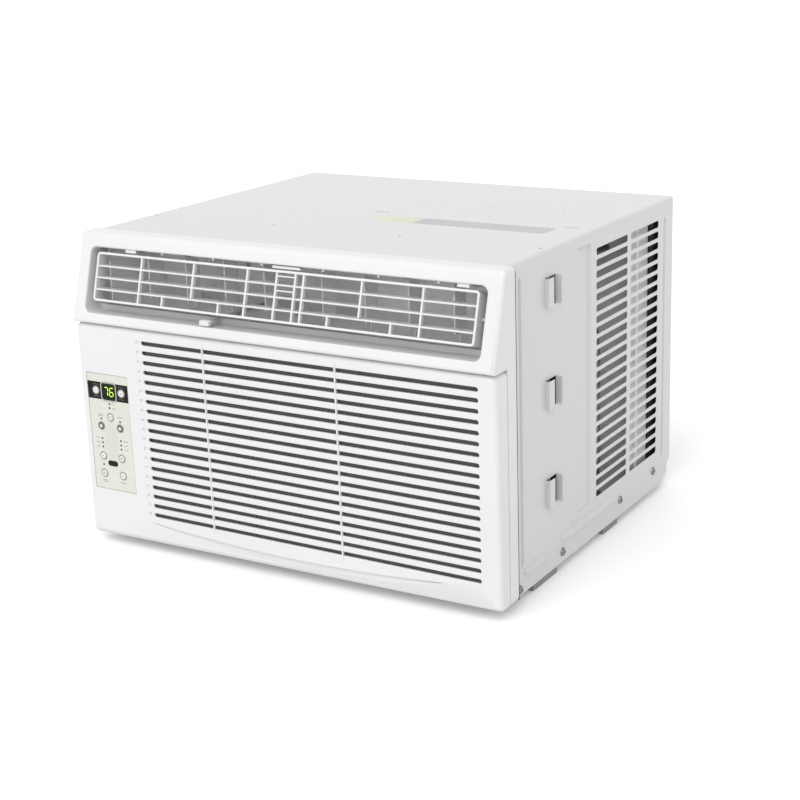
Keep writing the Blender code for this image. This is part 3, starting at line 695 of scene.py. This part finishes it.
# %% [markdown]
# ## The outlet grid
# The grid is a shallow rounded box of thin slats, tipped to the same slope as the fascia and set
# about a finger's breadth into the opening. Its wall is one closed band: rings go from the back to
# the front, over the rounded front edge and back again. The slats and bars are blocks with rounded
# edges, which is how such a lattice is cut in a mould.

# %% Grid frame
GRID_SIZE, GRID_RADIUS, GRID_WALL, GRID_DEPTH = (494.0, 56.0), 4.5, 2.8, 18.0
grid_low, grid_high = cad("outlet_grid")
grid_middle = (grid_low + grid_high) / 2
GRID = face_at((0, grid_middle.y, grid_middle.z), ACROSS, lean_up, lean_in)
near, far = -GRID_DEPTH / 2, GRID_DEPTH / 2
grid = bmesh.new()
first, last = stepped(grid, GRID, GRID_SIZE, GRID_RADIUS, [
    (0, far), (0, near + 0.6), (-0.25, near + 0.15), (-0.7, near + 0.03), (-GRID_WALL / 2, near),
    (-GRID_WALL + 0.7, near + 0.03), (-GRID_WALL + 0.25, near + 0.15), (-GRID_WALL, near + 0.6),
    (-GRID_WALL, far - 0.1)], segments=4)
bmesh.ops.bridge_loops(grid, edges=first + last)
print("grid centre, mm:", [round(c, 1) for c in grid_middle])

# %% Slats and bars
ROWS = 4
row_rise = (GRID_SIZE[1] - GRID_WALL) / ROWS
slat_ups = [(i - 1) * row_rise for i in range(3)]
inner_half = GRID_SIZE[0] / 2 - GRID_WALL / 2
SLAT_TIP = Matrix.Rotation(math.radians(-9), 4, "X")
for up in slat_ups:
    block(grid, spot(GRID, 0, up) @ SLAT_TIP, (2 * inner_half, 2.0, GRID_DEPTH - 1.2), 0.6)


def bar(x, low_up, high_up, width=2.4):
    block(grid, spot(GRID, x, (low_up + high_up) / 2, near + 2.9),
          (width, high_up - low_up, 5.0), 0.45)


FULL_BARS, HIGH_BARS = (-182.5, -36.5, 2.0, 26.0, 36.5, 182.5), (-109.0, 109.0)
LOW_BARS = (-148.5, -71.0, 71.0, 148.5)
bottom, top = -GRID_SIZE[1] / 2 + 1, GRID_SIZE[1] / 2 - 1
for places, low, high in ((FULL_BARS, bottom, top), (HIGH_BARS, slat_ups[0], top),
                          (LOW_BARS, bottom, slat_ups[0])):
    for x in places:
        bar(x, low, high)
for up in (slat_ups[2] + 0.62 * row_rise, slat_ups[1] + 0.45 * row_rise):
    block(grid, spot(GRID, 14.0, up, near + 2.9), (24.0, 1.6, 5.0), 0.4)
for side in (-1, 1):
    block(grid, spot(GRID, side * (GRID_SIZE[0] / 2 + 1.8), 0, 4), (5.0, 3.0, 3.0), 1.2)
piece("outlet_grid_moulding", grid, "grid", [white_plastic], ["outlet_grid"])

# %% [markdown]
# ## The cabinet
# The wrap is one sheet of 1.2 mm steel bent over the top and both sides. Its outer skin is drawn
# face by face, with a ring for every punched hole and every pressed bead, and the two long bends
# are quarter turns made with `spin`. When the skin is whole and faces outwards, `solidify` gives it
# the thickness of the sheet. A recess is a ring pushed in and covered, and a raised bead is the
# same ring pushed out.

# %% Cabinet sizes
SHEET, BEND = 1.2, 4.0
SHELL_FRONT, SHELL_REAR = shell_low.y, shell_high.y
LOUVRE_ROWS, LOUVRE_PITCH, LOUVRE_TOP, LOUVRE_HEIGHT = 23, 12.9, 348.0, 8.0
LOUVRE_COLUMNS = ((19.0, 105.0), (115.0, 197.0))
BRACKETS, WINDOW_Y, WINDOW_SIZE = (325.0, 214.0, 103.0), -96.75, (25.5, 32.0)
side_top = shell_high.z - BEND
top_half = SIDE_X - BEND
SIDE_PRESSINGS = (
    # across, up, (width, height), corner, how far out, slope
    (-168, 196, (6.4, 314), 3.1, -2.6, 1.6),
    (-14, 204, (38, 306), 4.0, -2.6, 2.2),
    (216, 197, (6.4, 304), 3.1, -2.6, 1.6),
    (-138.5, 33, (56, 8.5), 4.1, 2.8, 2.2),
    (0, 38, (148, 8.5), 4.1, 2.8, 2.2),
    (-44, 51.5, (8, 8), 3.9, 1.8, 2.0),
    (-37, 25, (7, 7), 3.4, 1.8, 1.8),
)
print("louvres on each side:", LOUVRE_ROWS * len(LOUVRE_COLUMNS))


# %% Side sheets
def pressed(bm, face, across, up, size, radius, height, slope=1.4):
    """A pressed bead (height above 0) or recess (below 0). Returns its outer ring."""
    steps = [(0, 0), (-slope * 0.35, -height * 0.25), (-slope * 0.75, -height * 0.85),
             (-slope, -height)]
    first, last = stepped(bm, spot(face, across, up), size, radius, steps)
    fill(bm, last, face)
    return first


def side_sheet(bm, face):
    edges = loop(bm, face, (
        (SHELL_FRONT, shell_low.z), (214, shell_low.z), (232.3, 21), (232.3, 31),
        (SHELL_REAR, 36), (SHELL_REAR, side_top), (SHELL_FRONT, side_top),
    ))
    for low, high in LOUVRE_COLUMNS:
        for i in range(LOUVRE_ROWS):
            up = LOUVRE_TOP - LOUVRE_HEIGHT / 2 - LOUVRE_PITCH * i
            edges += stepped(bm, spot(face, (low + high) / 2, up), (high - low, LOUVRE_HEIGHT), 2.4,
                             [(0.5, 0), (0.12, 0.12), (0, 0.5)])[0]
    for up in BRACKETS:
        edges += outline(bm, spot(face, WINDOW_Y, up), *WINDOW_SIZE, 1.0)
    for pressing in SIDE_PRESSINGS:
        edges += pressed(bm, face, *pressing)
    fill(bm, edges, face)


shell = bmesh.new()
side_sheet(shell, RIGHT)
side_sheet(shell, LEFT)
print("side sheets:", len(shell.faces), "faces")

# %% [markdown]
# The top has four pilot holes near the front, two lancing slots, and at the right rear a field of
# small raised louvres over the condenser fan.

# %% Top sheet and bends
PILOT_X, LANCED = (-255, -84, 84, 255), ((-12, 18), (237.5, 13))
FIELD_ROWS, FIELD_COLUMNS, FIELD_X, FIELD_Y = 6, 6, 88, 40
top_edges = loop(shell, TOP, ((-top_half, SHELL_FRONT), (top_half, SHELL_FRONT),
                              (top_half, SHELL_REAR), (-top_half, SHELL_REAR)))
for x in PILOT_X:
    top_edges += outline(shell, spot(TOP, x, -100), 4.0, 4.0, 1.9)
for x, y in LANCED:
    top_edges += outline(shell, spot(TOP, x, y), 21.0, 2.2, 1.0)
for row in range(FIELD_ROWS):
    for column in range(FIELD_COLUMNS):
        x = FIELD_X + column * 27 + (row % 2) * 5
        top_edges += pressed(shell, TOP, x, FIELD_Y + row * 15, (19.0, 6.0), 2.9, -2.2, 1.7)
fill(shell, top_edges, TOP)

for side in (-1, 1):
    corner = Vector((side * top_half, 0, side_top))
    ends = [shell.verts.new((side * SIDE_X, y, side_top)) for y in (SHELL_FRONT, SHELL_REAR)]
    bmesh.ops.spin(
        shell, geom=ends + [shell.edges.new(ends)], cent=corner, axis=(0, -side, 0),
        angle=math.pi / 2, steps=5,
    )
bmesh.ops.remove_doubles(shell, verts=shell.verts[:], dist=0.01)
bmesh.ops.recalc_face_normals(shell, faces=shell.faces[:])
bmesh.ops.solidify(shell, geom=shell.faces[:], thickness=SHEET)
print("wrap with its thickness:", len(shell.faces), "faces")

# %% [markdown]
# Three windows are lanced in each side, and the metal from each is bent outwards. The rear leaf
# stands straight out, and the front leaf is an L that turns back, which is the hook that a side
# curtain's frame slides into. A narrow frame closes the back round the condenser.

# %% Hooks and the rear frame
HOOK_ROOT, HOOK_OUT, LEAF_OUT = SIDE_X - 0.9, SIDE_X + 5, SIDE_X + 7
HOOK_Y, HOOK_TIP, LEAF_Y, HOOK_RISE = -110.6, -98, -84.3, 15.6
for side in (-1, 1):
    for up in BRACKETS:
        low, high = up - HOOK_RISE, up + HOOK_RISE
        span_beside(shell, side, HOOK_ROOT, HOOK_OUT, (HOOK_Y, low), (HOOK_Y + SHEET, high), 0.35)
        span_beside(shell, side, HOOK_OUT - 1.25, HOOK_OUT - 0.05, (HOOK_Y + 0.05, low + 0.05),
                    (HOOK_TIP, high - 0.05), 0.35)
        span_beside(shell, side, HOOK_ROOT, LEAF_OUT, (LEAF_Y, low), (LEAF_Y + SHEET, high), 0.35)

REAR = face_at((0, SHELL_REAR, 0), ACROSS, UP, -BACK)
REAR_MIDDLE, REAR_HEIGHT, REAR_FRAME = 202, 331, 13
outer, inner = stepped(shell, spot(REAR, 0, REAR_MIDDLE), (2 * SIDE_X - 3, REAR_HEIGHT), 3.0,
                       [(0, SHEET), (0, 0.0), (-REAR_FRAME, 0.0), (-REAR_FRAME, SHEET)], segments=4)
bmesh.ops.bridge_loops(shell, edges=outer + inner)
piece("cabinet_wrap", shell, "cabinet", [painted_steel], ["cabinet_shell"], crease=30)

# %% [markdown]
# ## Screws
# Eight pan-head screws hold the wrap to the base. Each head is turned as a low dome that stops at a
# flat ring, and the ring is filled round a cross-shaped socket: a three by three grid without its
# corners, pressed in.

# %% Pan-head screws
SCREW_PLACES = ((-175, 17), (-71, 22), (87, 30), (187.5, 34))
HEAD_HIGH, LID, SOCKET_DEEP = 2.5, 2.6, 1.3


def screw(bm, where):
    profile = [(4.9, -0.8), (4.9, 0.5), (4.6, 1.3), (3.9, 2.0), (LID, HEAD_HIGH)]
    lathe(bm, where, profile, 28)
    lid = where @ Matrix.Translation((0, 0, -HEAD_HIGH))
    socket = bmesh.ops.create_grid(bm, x_segments=3, y_segments=3, size=1.5, matrix=lid)
    faces = {f for v in socket["verts"] for f in v.link_faces}
    arms = sorted(faces, key=lambda f: (f.calc_center_median() - lid.translation).length)[:5]
    bmesh.ops.delete(bm, geom=list(faces - set(arms)), context="FACES")
    pushed = bmesh.ops.extrude_face_region(bm, geom=arms)
    sunk = [v for v in pushed["geom"] if isinstance(v, bmesh.types.BMVert)]
    bmesh.ops.translate(bm, verts=sunk, vec=lid.to_3x3() @ Vector((0, 0, SOCKET_DEEP)))
    bmesh.ops.remove_doubles(bm, verts=bm.verts[:], dist=0.002)
    bmesh.ops.delete(bm, geom=[f for f in arms if f.is_valid], context="FACES")
    return lid


for side, face in (("left", LEFT), ("right", RIGHT)):
    for i, (y, z) in enumerate(SCREW_PLACES):
        head = bmesh.new()
        where = spot(face, y, z)
        lid = screw(head, where)
        rim = [e for e in head.edges if len(e.link_faces) == 1
               and all(abs((v.co - lid.translation).length - LID) < 0.05 for v in e.verts)]
        mouth = [e for e in head.edges if len(e.link_faces) == 1
                 and all((v.co - lid.translation).length < LID - 0.2 for v in e.verts)]
        fill(head, rim + mouth, lid)
        under = [e for e in head.edges if len(e.link_faces) == 1]
        bmesh.ops.contextual_create(head, geom=under)
        node = f"screw_{side}_{i + 1}"
        piece(f"{node}_head", head, "cabinet", [plated], [node])

# %% [markdown]
# ## Control plate
# The plate is a flat film-covered board with a hole for each button, one for the display and one
# for the remote receiver. The buttons are separate, because each one moves. Around the plate's
# prints everything is generic: dots for the indicator lamps and short dashes where a panel would
# carry words.

# %% Plate with its holes
BUTTONS = {
    "down": (-249.3, 190.4), "up": (-211.7, 190.4), "power": (-231.0, 159.5),
    "timer": (-245.5, 147.7), "sleep": (-217.5, 147.7), "mode": (-246.5, 110.8),
    "fan": (-218.7, 110.8), "auto": (-247.0, 89.4), "filter": (-219.0, 89.4),
}
PLATE = face_at((0, plate_low.y, 0), ACROSS, UP, BACK)
plate_depth = plate_high.y - plate_low.y
lens_low, lens_high = cad("display_lens")
eye_low, eye_high = cad("receiver_lens")

plate = bmesh.new()
plate_spot = spot(PLATE, plate_middle.x, plate_middle.z)
plate_size = (plate_high.x - plate_low.x, plate_high.z - plate_low.z)
first, last = stepped(plate, plate_spot, plate_size, 1.4, rim_lip(0.35, 2) + [(0, plate_depth)])
plate_front, plate_back = list(first), list(last)
openings = [(x, z, 9.2, 9.2, 4.5, 6) for x, z in BUTTONS.values()]
for low, high, corner in ((lens_low, lens_high, 1.5), (eye_low, eye_high, 2.9)):
    openings.append(((low.x + high.x) / 2, (low.z + high.z) / 2,
                     high.x - low.x + 0.3, high.z - low.z + 0.3, corner, 4))
for x, z, width, height, corner, parts in openings:
    first, last = stepped(plate, spot(PLATE, x, z), (width, height), corner,
                          [(0, 0), (0, plate_depth)], parts)
    plate_front += first
    plate_back += last
fill(plate, plate_front, PLATE)
fill(plate, plate_back, PLATE)
piece("control_film", plate, "cabinet", [cream_film], ["control_plate"])

# %% Black band, bezel and printed marks
BAND = (180.0, 200.8)
band = bmesh.new()
first, last = stepped(band, spot(PLATE, plate_middle.x, sum(BAND) / 2),
                      (plate_size[0] - 0.6, BAND[1] - BAND[0]), 0.4,
                      [(0, 0.2), (0, -0.08), (-0.05, -0.1)])
band_front, band_back = list(last), list(first)
for x, z, width, height, corner, parts in openings:
    if BAND[0] < z < BAND[1]:
        near_ring, far_ring = stepped(band, spot(PLATE, x, z), (width, height), corner,
                                      [(0.2, -0.1), (0.2, 0.2)], parts)
        band_front += near_ring
        band_back += far_ring
fill(band, band_front, PLATE)
fill(band, band_back, PLATE)
piece("display_band", band, "cabinet", [band_black])

bezel = bmesh.new()
lens_centre = ((lens_low.x + lens_high.x) / 2, (lens_low.z + lens_high.z) / 2)
first, last = stepped(bezel, spot(PLATE, *lens_centre), (23.4, 23.2), 4.6, [
    (0, 0.1), (0, -0.45), (-0.3, -0.75), (-1.1, -0.75), (-1.6, -0.4), (-1.6, 0.1)], segments=5)
bmesh.ops.bridge_loops(bezel, edges=first + last)
piece("display_bezel", bezel, "cabinet", [bezel_grey])

pill = bmesh.new()
closed_steps(pill, spot(PLATE, (eye_low.x + eye_high.x) / 2, (eye_low.z + eye_high.z) / 2),
             (14.6, 6.6), 3.2, [(0, 0.6), (0, -0.3), (-0.4, -0.55), (-1.2, -0.65)], 6)
piece("receiver_pill", pill, "cabinet", [lens_black], ["receiver_lens"])

LAMPS = ((-230.8, 175.6), (-231.2, 170.7), (-245.2, 156.2), (-217.0, 155.7), (-245.8, 132.4),
         (-245.9, 127.2), (-245.9, 122.0), (-218.2, 132.4), (-218.4, 127.2), (-218.4, 122.0),
         (-247.2, 100.1))
LAMP_PROFILE = [(0, 0.16), (1.0, 0.12), (1.3, 0.0), (1.3, -0.3), (0, -0.3)]
lamps = bmesh.new()
for x, z in LAMPS:
    lathe(lamps, spot(PLATE, x, z), LAMP_PROFILE, 16)
piece("indicator_lamps", lamps, "cabinet", [black_plastic])

DASHES = ((-225.5, 175.6, 4, 1), (-224.5, 170.7, 6, 1), (-246.0, 161.5, 8, 2), (-217.0, 161.0, 8, 1),
          (-252.5, 132.4, 5, 1), (-252.5, 127.2, 6, 1), (-252.5, 122.0, 5, 1), (-211.0, 132.4, 6, 1),
          (-211.0, 127.2, 5, 1), (-211.0, 122.0, 6, 1), (-247.0, 80.5, 8, 2), (-219.0, 80.5, 9, 1))
marks = bmesh.new()
for x, z, length, lines in DASHES:
    for line in range(lines):
        block(marks, spot(PLATE, x, z - 1.9 * line, -0.02), (length - line, 0.55, 0.1))
for x in (-249.3, -211.7):
    for up in (197.6, 183.2):
        block(marks, spot(PLATE, x, up, -0.12), (8.5, 0.5, 0.08))
piece("printed_dashes", marks, "cabinet", [print_grey])

# %% [markdown]
# Seven bars make every digit of such a display. Each bar is a small block, the digits lean a little
# to the right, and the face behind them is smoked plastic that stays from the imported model.

# %% Display digits
SEGMENTS = {"7": "abc", "6": "acdefg"}
BARS = {"a": (0, 1, 1), "b": (0.5, 0.5, 0), "c": (0.5, -0.5, 0), "d": (0, -1, 1),
        "e": (-0.5, -0.5, 0), "f": (-0.5, 0.5, 0), "g": (0, 0, 1)}
DIGIT_WIDE, DIGIT_HALF, DIGIT_STEP, STROKE = 5.4, 5.0, 4.1, 1.05
LENS_FACE = face_at((0, lens_low.y, 0), ACROSS, UP, BACK)
digits = bmesh.new()
for step, digit in ((-DIGIT_STEP, "7"), (DIGIT_STEP, "6")):
    for name in SEGMENTS[digit]:
        x, up, flat = BARS[name]
        size = (DIGIT_WIDE - 1.6, STROKE) if flat else (STROKE, DIGIT_HALF - 1.2)
        slant = 0.12 * up * DIGIT_HALF
        where = spot(LENS_FACE, lens_centre[0] + step + x * DIGIT_WIDE + slant,
                     lens_centre[1] + up * DIGIT_HALF, -0.05)
        block(digits, where, (*size, 0.16), 0.03, 1)
piece("display_digits", digits, "cabinet", [lit_digit])

# %% [markdown]
# ## Buttons
# Each button is a turned cap with a shallow dish in its face, inside a low collar that stays on the
# plate. The collar's dark grey is painted shade round the cap. Two of the caps have a grey ring. The
# signs on the caps are plain strokes and rings that mean nothing in particular.

# %% Button caps and collars
def cap_sign(bm, where, kind):
    """Small raised strokes on a cap, in the second finish."""
    before = set(bm.faces)
    strokes = {"down": ((0, 0, 2.2, 0.5),), "up": ((0, 0, 2.2, 0.5), (0, 0, 0.5, 2.2)),
               "power": ((0, 0.9, 0.45, 1.6),), "timer": ((0, 0.4, 0.4, 1.3), (0.4, 0, 1.1, 0.4)),
               "sleep": ((0.2, 0, 1.4, 0.45),), "mode": ((0, 0, 0.45, 1.8), (0, 0, 1.8, 0.45)),
               "fan": ((0.5, 0.5, 1.1, 0.45), (-0.5, -0.5, 1.1, 0.45)),
               "auto": ((0, 0, 0.45, 2.0),), "filter": ((0, 0.5, 1.7, 0.4), (0, -0.5, 1.7, 0.4))}
    for x, up, width, height in strokes[kind]:
        block(bm, spot(where, x, up, 0.0), (width, height, 0.12))
    if kind in ("power", "auto", "fan"):
        lathe(bm, where, [(1.5, -0.1), (1.5, 0.06), (1.8, 0.06), (1.8, -0.1), (1.5, -0.1)], 20)
    for face in set(bm.faces) - before:
        face.material_index = 1


button_cream = uneven("cream button plastic", (0.56, 0.555, 0.5), 0.4, shade=0.02)
# The collars' dark grey is painted shade round the button caps.
collar_painted_shade = uneven("shaded button collar", (0.26, 0.26, 0.235), 0.45, shade=0.03)
COLLAR_PROFILE = [(4.25, -0.4), (4.25, 0.35), (4.5, 0.55), (5.0, 0.45), (5.3, 0.0), (5.3, -0.4),
                  (4.25, -0.4)]
collars = bmesh.new()
for name, (x, z) in BUTTONS.items():
    node = f"button_{name}"
    low, high = cad(node)
    cap = bmesh.new()
    face = face_at((x, low.y, z), ACROSS, UP, BACK)
    deep = high.y - low.y
    ringed = name in ("timer", "sleep")
    lathe(cap, face, [(0, -0.12), (2.0, -0.08), (2.7, 0.0), (3.3, -0.02), (3.75, -0.3), (3.95, -0.8),
                      (3.95, -deep), (0, -deep)], 32)
    if ringed:
        for f in cap.faces:
            reach = (f.calc_center_median() - Vector((x, low.y, z))).xz.length
            if 2.2 < reach < 3.96:
                f.material_index = 2
    cap_sign(cap, spot(face, 0, 0, 0.1), name)
    in_band = name in ("down", "up")
    piece(f"{node}_cap", cap, node,
          [white_plastic if in_band else button_cream, print_grey, ring_grey], [node])
    lathe(collars, spot(PLATE, x, z), COLLAR_PROFILE, 32)
piece("button_collars", collars, "cabinet", [collar_painted_shade])

# %% [markdown]
# ## Vent lever and labels
# The fresh-air lever pokes out under the grid: a small square knob on a flat rod. On top of the
# cabinet lies a long blank label with a pale yellow end. It is a sheet of paper, so it stands a
# tenth of a millimetre proud.

# %% Vent lever
lever_low, lever_high = cad("vent_lever")
LEVER_X, KNOB_HALF, ROD_HALF, RIDGE_HALF = -85, 6.5, 2.2, 6.0
lever = bmesh.new()
span(lever, (LEVER_X - KNOB_HALF, lever_low.y, lever_low.z),
     (LEVER_X + KNOB_HALF, lever_low.y + 7.5, lever_high.z), 1.1, 3)
span(lever, (LEVER_X - ROD_HALF, lever_low.y + 6, lever_low.z),
     (LEVER_X + ROD_HALF, lever_high.y, lever_low.z + 3), 0.5)
for i in range(3):
    ridge_y = lever_low.y + 1.8 + 1.6 * i
    span(lever, (LEVER_X - RIDGE_HALF, ridge_y, lever_high.z - 0.3),
         (LEVER_X + RIDGE_HALF, ridge_y + 0.8, lever_high.z + 0.25), 0.15, 1)
piece("vent_lever_knob", lever, "lever", [white_plastic], ["vent_lever"])

# %% Top label
LABEL_Y, LABEL_DEPTH = -14, 31
for name, low_x, high_x, finish in (("label_strip", 58, 224, label_grey),
                                    ("label_end", 2, 57.6, label_yellow)):
    paper = bmesh.new()
    closed_steps(paper, spot(TOP, (low_x + high_x) / 2, LABEL_Y), (high_x - low_x, LABEL_DEPTH),
                 1.2, [(0, 0.1), (0, -0.08), (-0.1, -0.12)])
    piece(name, paper, "cabinet", [finish])

# %% [markdown]
# ## Duct lining, seals, cheek plates and feet
# Behind the vanes the air turns forwards over a smooth white foam lining. It is a quarter of a
# tube: two points span the duct's width, `spin` turns them through a right angle, and `solidify`
# makes the foam. It stops either side of the fresh-air flap. A black seal closes the joint between
# the fascia and the cabinet's sides, as painted shadow along that seam, and inside the rear louvres a
# bright cheek plate stands each side of the fan, with black foam between it and the condenser as
# painted shade at the louvres' far end. The base stands on four feet, pressed like shallow boxes,
# whose dark grey is painted shade under the base. All of these are plain blocks with rounded edges.

# %% Foam lining
duct_low, duct_high = cad("outlet_duct")
door_low, door_high = cad("vent_door")
foam_white = uneven("white moulded foam", (0.94, 0.94, 0.94), 0.7, shade=0.02, broad=12,
                    grain=3, depth=0.1)
LINING = 56.0
lining = bmesh.new()
turn_about = Vector((0, duct_high.y - 3 - LINING, duct_high.z - 2 - LINING))
for low_x, high_x in ((duct_low.x + 2.5, door_low.x - 4), (door_high.x + 4, duct_high.x - 2.5)):
    ends = [lining.verts.new((x, turn_about.y, turn_about.z + LINING)) for x in (low_x, high_x)]
    bmesh.ops.spin(
        lining, geom=ends + [lining.edges.new(ends)], cent=turn_about, axis=(-1, 0, 0),
        angle=math.pi / 2, steps=12,
    )
bmesh.ops.solidify(lining, geom=lining.faces[:], thickness=1.5)
piece("duct_lining", lining, "cabinet", [foam_white])

# %% Side seals and cheek plates, the black seals as painted shade
COIL_SIDE, CHEEK_FRONT, CHEEK_REAR, CHEEK_TOP = 255.5, 122, 184.2, 354
# The black strip at the seam is painted shadow, and the black foam at the louvres' rear end is painted
# shade.
shade_strips = bmesh.new()
for side in (-1, 1):
    span_beside(shade_strips, side, SIDE_X + 0.15, half - 0.5, (SEAM_Y + 0.02, 14), (SEAM_Y + 2.6, 366), 0.3)
    span_beside(shade_strips, side, COIL_SIDE, COIL_SIDE + 4, (CHEEK_REAR + 0.3, 44), (237, CHEEK_TOP), 0.5)
piece("seam_shade_strips", shade_strips, "cabinet", [black_plastic])

cheeks = bmesh.new()
for side in (-1, 1):
    span_beside(cheeks, side, COIL_SIDE, COIL_SIDE + SHEET, (CHEEK_FRONT, 46),
                (CHEEK_REAR, CHEEK_TOP), 0.3)
cheek_grey = uneven("zinc plated sheet", (0.55, 0.55, 0.56), 0.5, metal=0.25, shade=0.08,
                    broad=25)
piece("fan_cheeks", cheeks, "cabinet", [cheek_grey])

# %% Feet
FOOT_X, FOOT_RISE = (236.0, 262.4), 11.2
feet = bmesh.new()
for side in (-1, 1):
    for low_y, high_y in ((-138.4, -79.6), (44.6, 85.4)):
        span_beside(feet, side, *FOOT_X, (low_y, 0), (high_y, FOOT_RISE), 0.8)
# The feet's dark grey is painted shade from under the base, not the colour of their metal.
foot_painted_shade = uneven("pressed foot in painted shade", (0.2, 0.2, 0.205), 0.5, metal=0.2, shade=0.08, broad=30)
piece("pan_feet", feet, "cabinet", [foot_painted_shade])

# %% [markdown]
# ## Condenser
# From behind the unit shows its condenser: hundreds of thin aluminium fins on copper hairpins. One
# fin is made and `spin` with no angle repeats it sideways, which keeps each fin at a handful of
# faces. The tubes run through the fins, and bends join them in pairs at the ends.

# %% Fins and hairpin tubes
coil_low, coil_high = cad("condenser_coil")
FIN_PITCH, FIN, END_GAP = 2.4, 0.35, 9.0
fins = bmesh.new()
span(fins, (coil_low.x + END_GAP, coil_low.y, coil_low.z),
     (coil_low.x + END_GAP + FIN, coil_high.y, coil_high.z))
count = int((coil_high.x - coil_low.x - 2 * END_GAP) / FIN_PITCH)
bmesh.ops.spin(fins, geom=fins.verts[:] + fins.edges[:] + fins.faces[:], cent=(0, 0, 0), axis=(0, 0, 1),
               dvec=(FIN_PITCH, 0, 0), angle=0, steps=count, use_duplicate=True)
for x in (coil_low.x + END_GAP - 1.4, coil_high.x - END_GAP + 0.2):
    span(fins, (x, coil_low.y - 0.4, coil_low.z), (x + 1.2, coil_high.y + 0.4, coil_high.z))
piece("condenser_fins", fins, "cabinet", [fin_metal], ["condenser_coil"])

tubes = bmesh.new()
TUBE, TUBE_ROWS = 4.0, 13
tube_pitch = (coil_high.z - coil_low.z) / TUBE_ROWS
for row in range(TUBE_ROWS):
    z = coil_low.z + tube_pitch * (row + 0.5)
    for y in (coil_low.y + 11, coil_high.y - 11):
        bmesh.ops.create_cone(
            tubes, cap_ends=True, segments=10, radius1=TUBE, radius2=TUBE,
            depth=coil_high.x - coil_low.x - 2 * END_GAP + 6,
            matrix=Matrix.Translation((0, y, z)) @ Matrix.Rotation(math.pi / 2, 4, "Y"),
        )
    for side in (-1, 1):
        ring = bmesh.ops.create_circle(
            tubes, segments=10, radius=TUBE, cap_ends=True,
            matrix=Matrix.Translation((side * (coil_high.x - END_GAP + 1), coil_low.y + 11, z))
            @ Matrix.Rotation(math.pi / 2, 4, "Y"),
        )["verts"]
        section = {f for v in ring for f in v.link_faces}
        bmesh.ops.spin(
            tubes, geom=ring + list({e for f in section for e in f.edges}) + list(section),
            cent=(side * (coil_high.x - END_GAP + 1), (coil_low.y + coil_high.y) / 2, z),
            axis=(0, 0, -side), angle=math.pi, steps=8,
        )
print("tube rows", TUBE_ROWS)
piece("condenser_tubes", tubes, "cabinet", [copper])

# %% [markdown]
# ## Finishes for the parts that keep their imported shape
# The works inside and the small trims already have the right shape. They get a finish each, by
# material slot, and the loop stops with an error if a material slot has no finish.

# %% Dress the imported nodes
BY_SLOT = {
    "white_plastic": white_plastic, "grey_plastic": duct_foam, "painted_steel": painted_steel,
    "galvanised": galvanised, "plated_screw": plated, "coil_fins": coil_fins,
    "can_aluminium": can_aluminium, "copper": copper, "black_paint": black_paint,
    "black_plastic": black_plastic, "cream_overlay": cream_film, "display_window": lens_black,
    "board_green": board_green, "rubber": rubber,
}
OWN_FINISH = {"air_filter": filter_mesh}
OWN_FINISH.update({name: vane_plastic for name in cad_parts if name.startswith("vane_")})
dressed = 0
for name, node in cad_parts.items():
    for place in node.material_slots:
        finish = OWN_FINISH.get(name) or BY_SLOT[place.material.name.split(".")[0]]
        place.material = finish
        dressed += 1
print("dressed", dressed, "packed nodes")
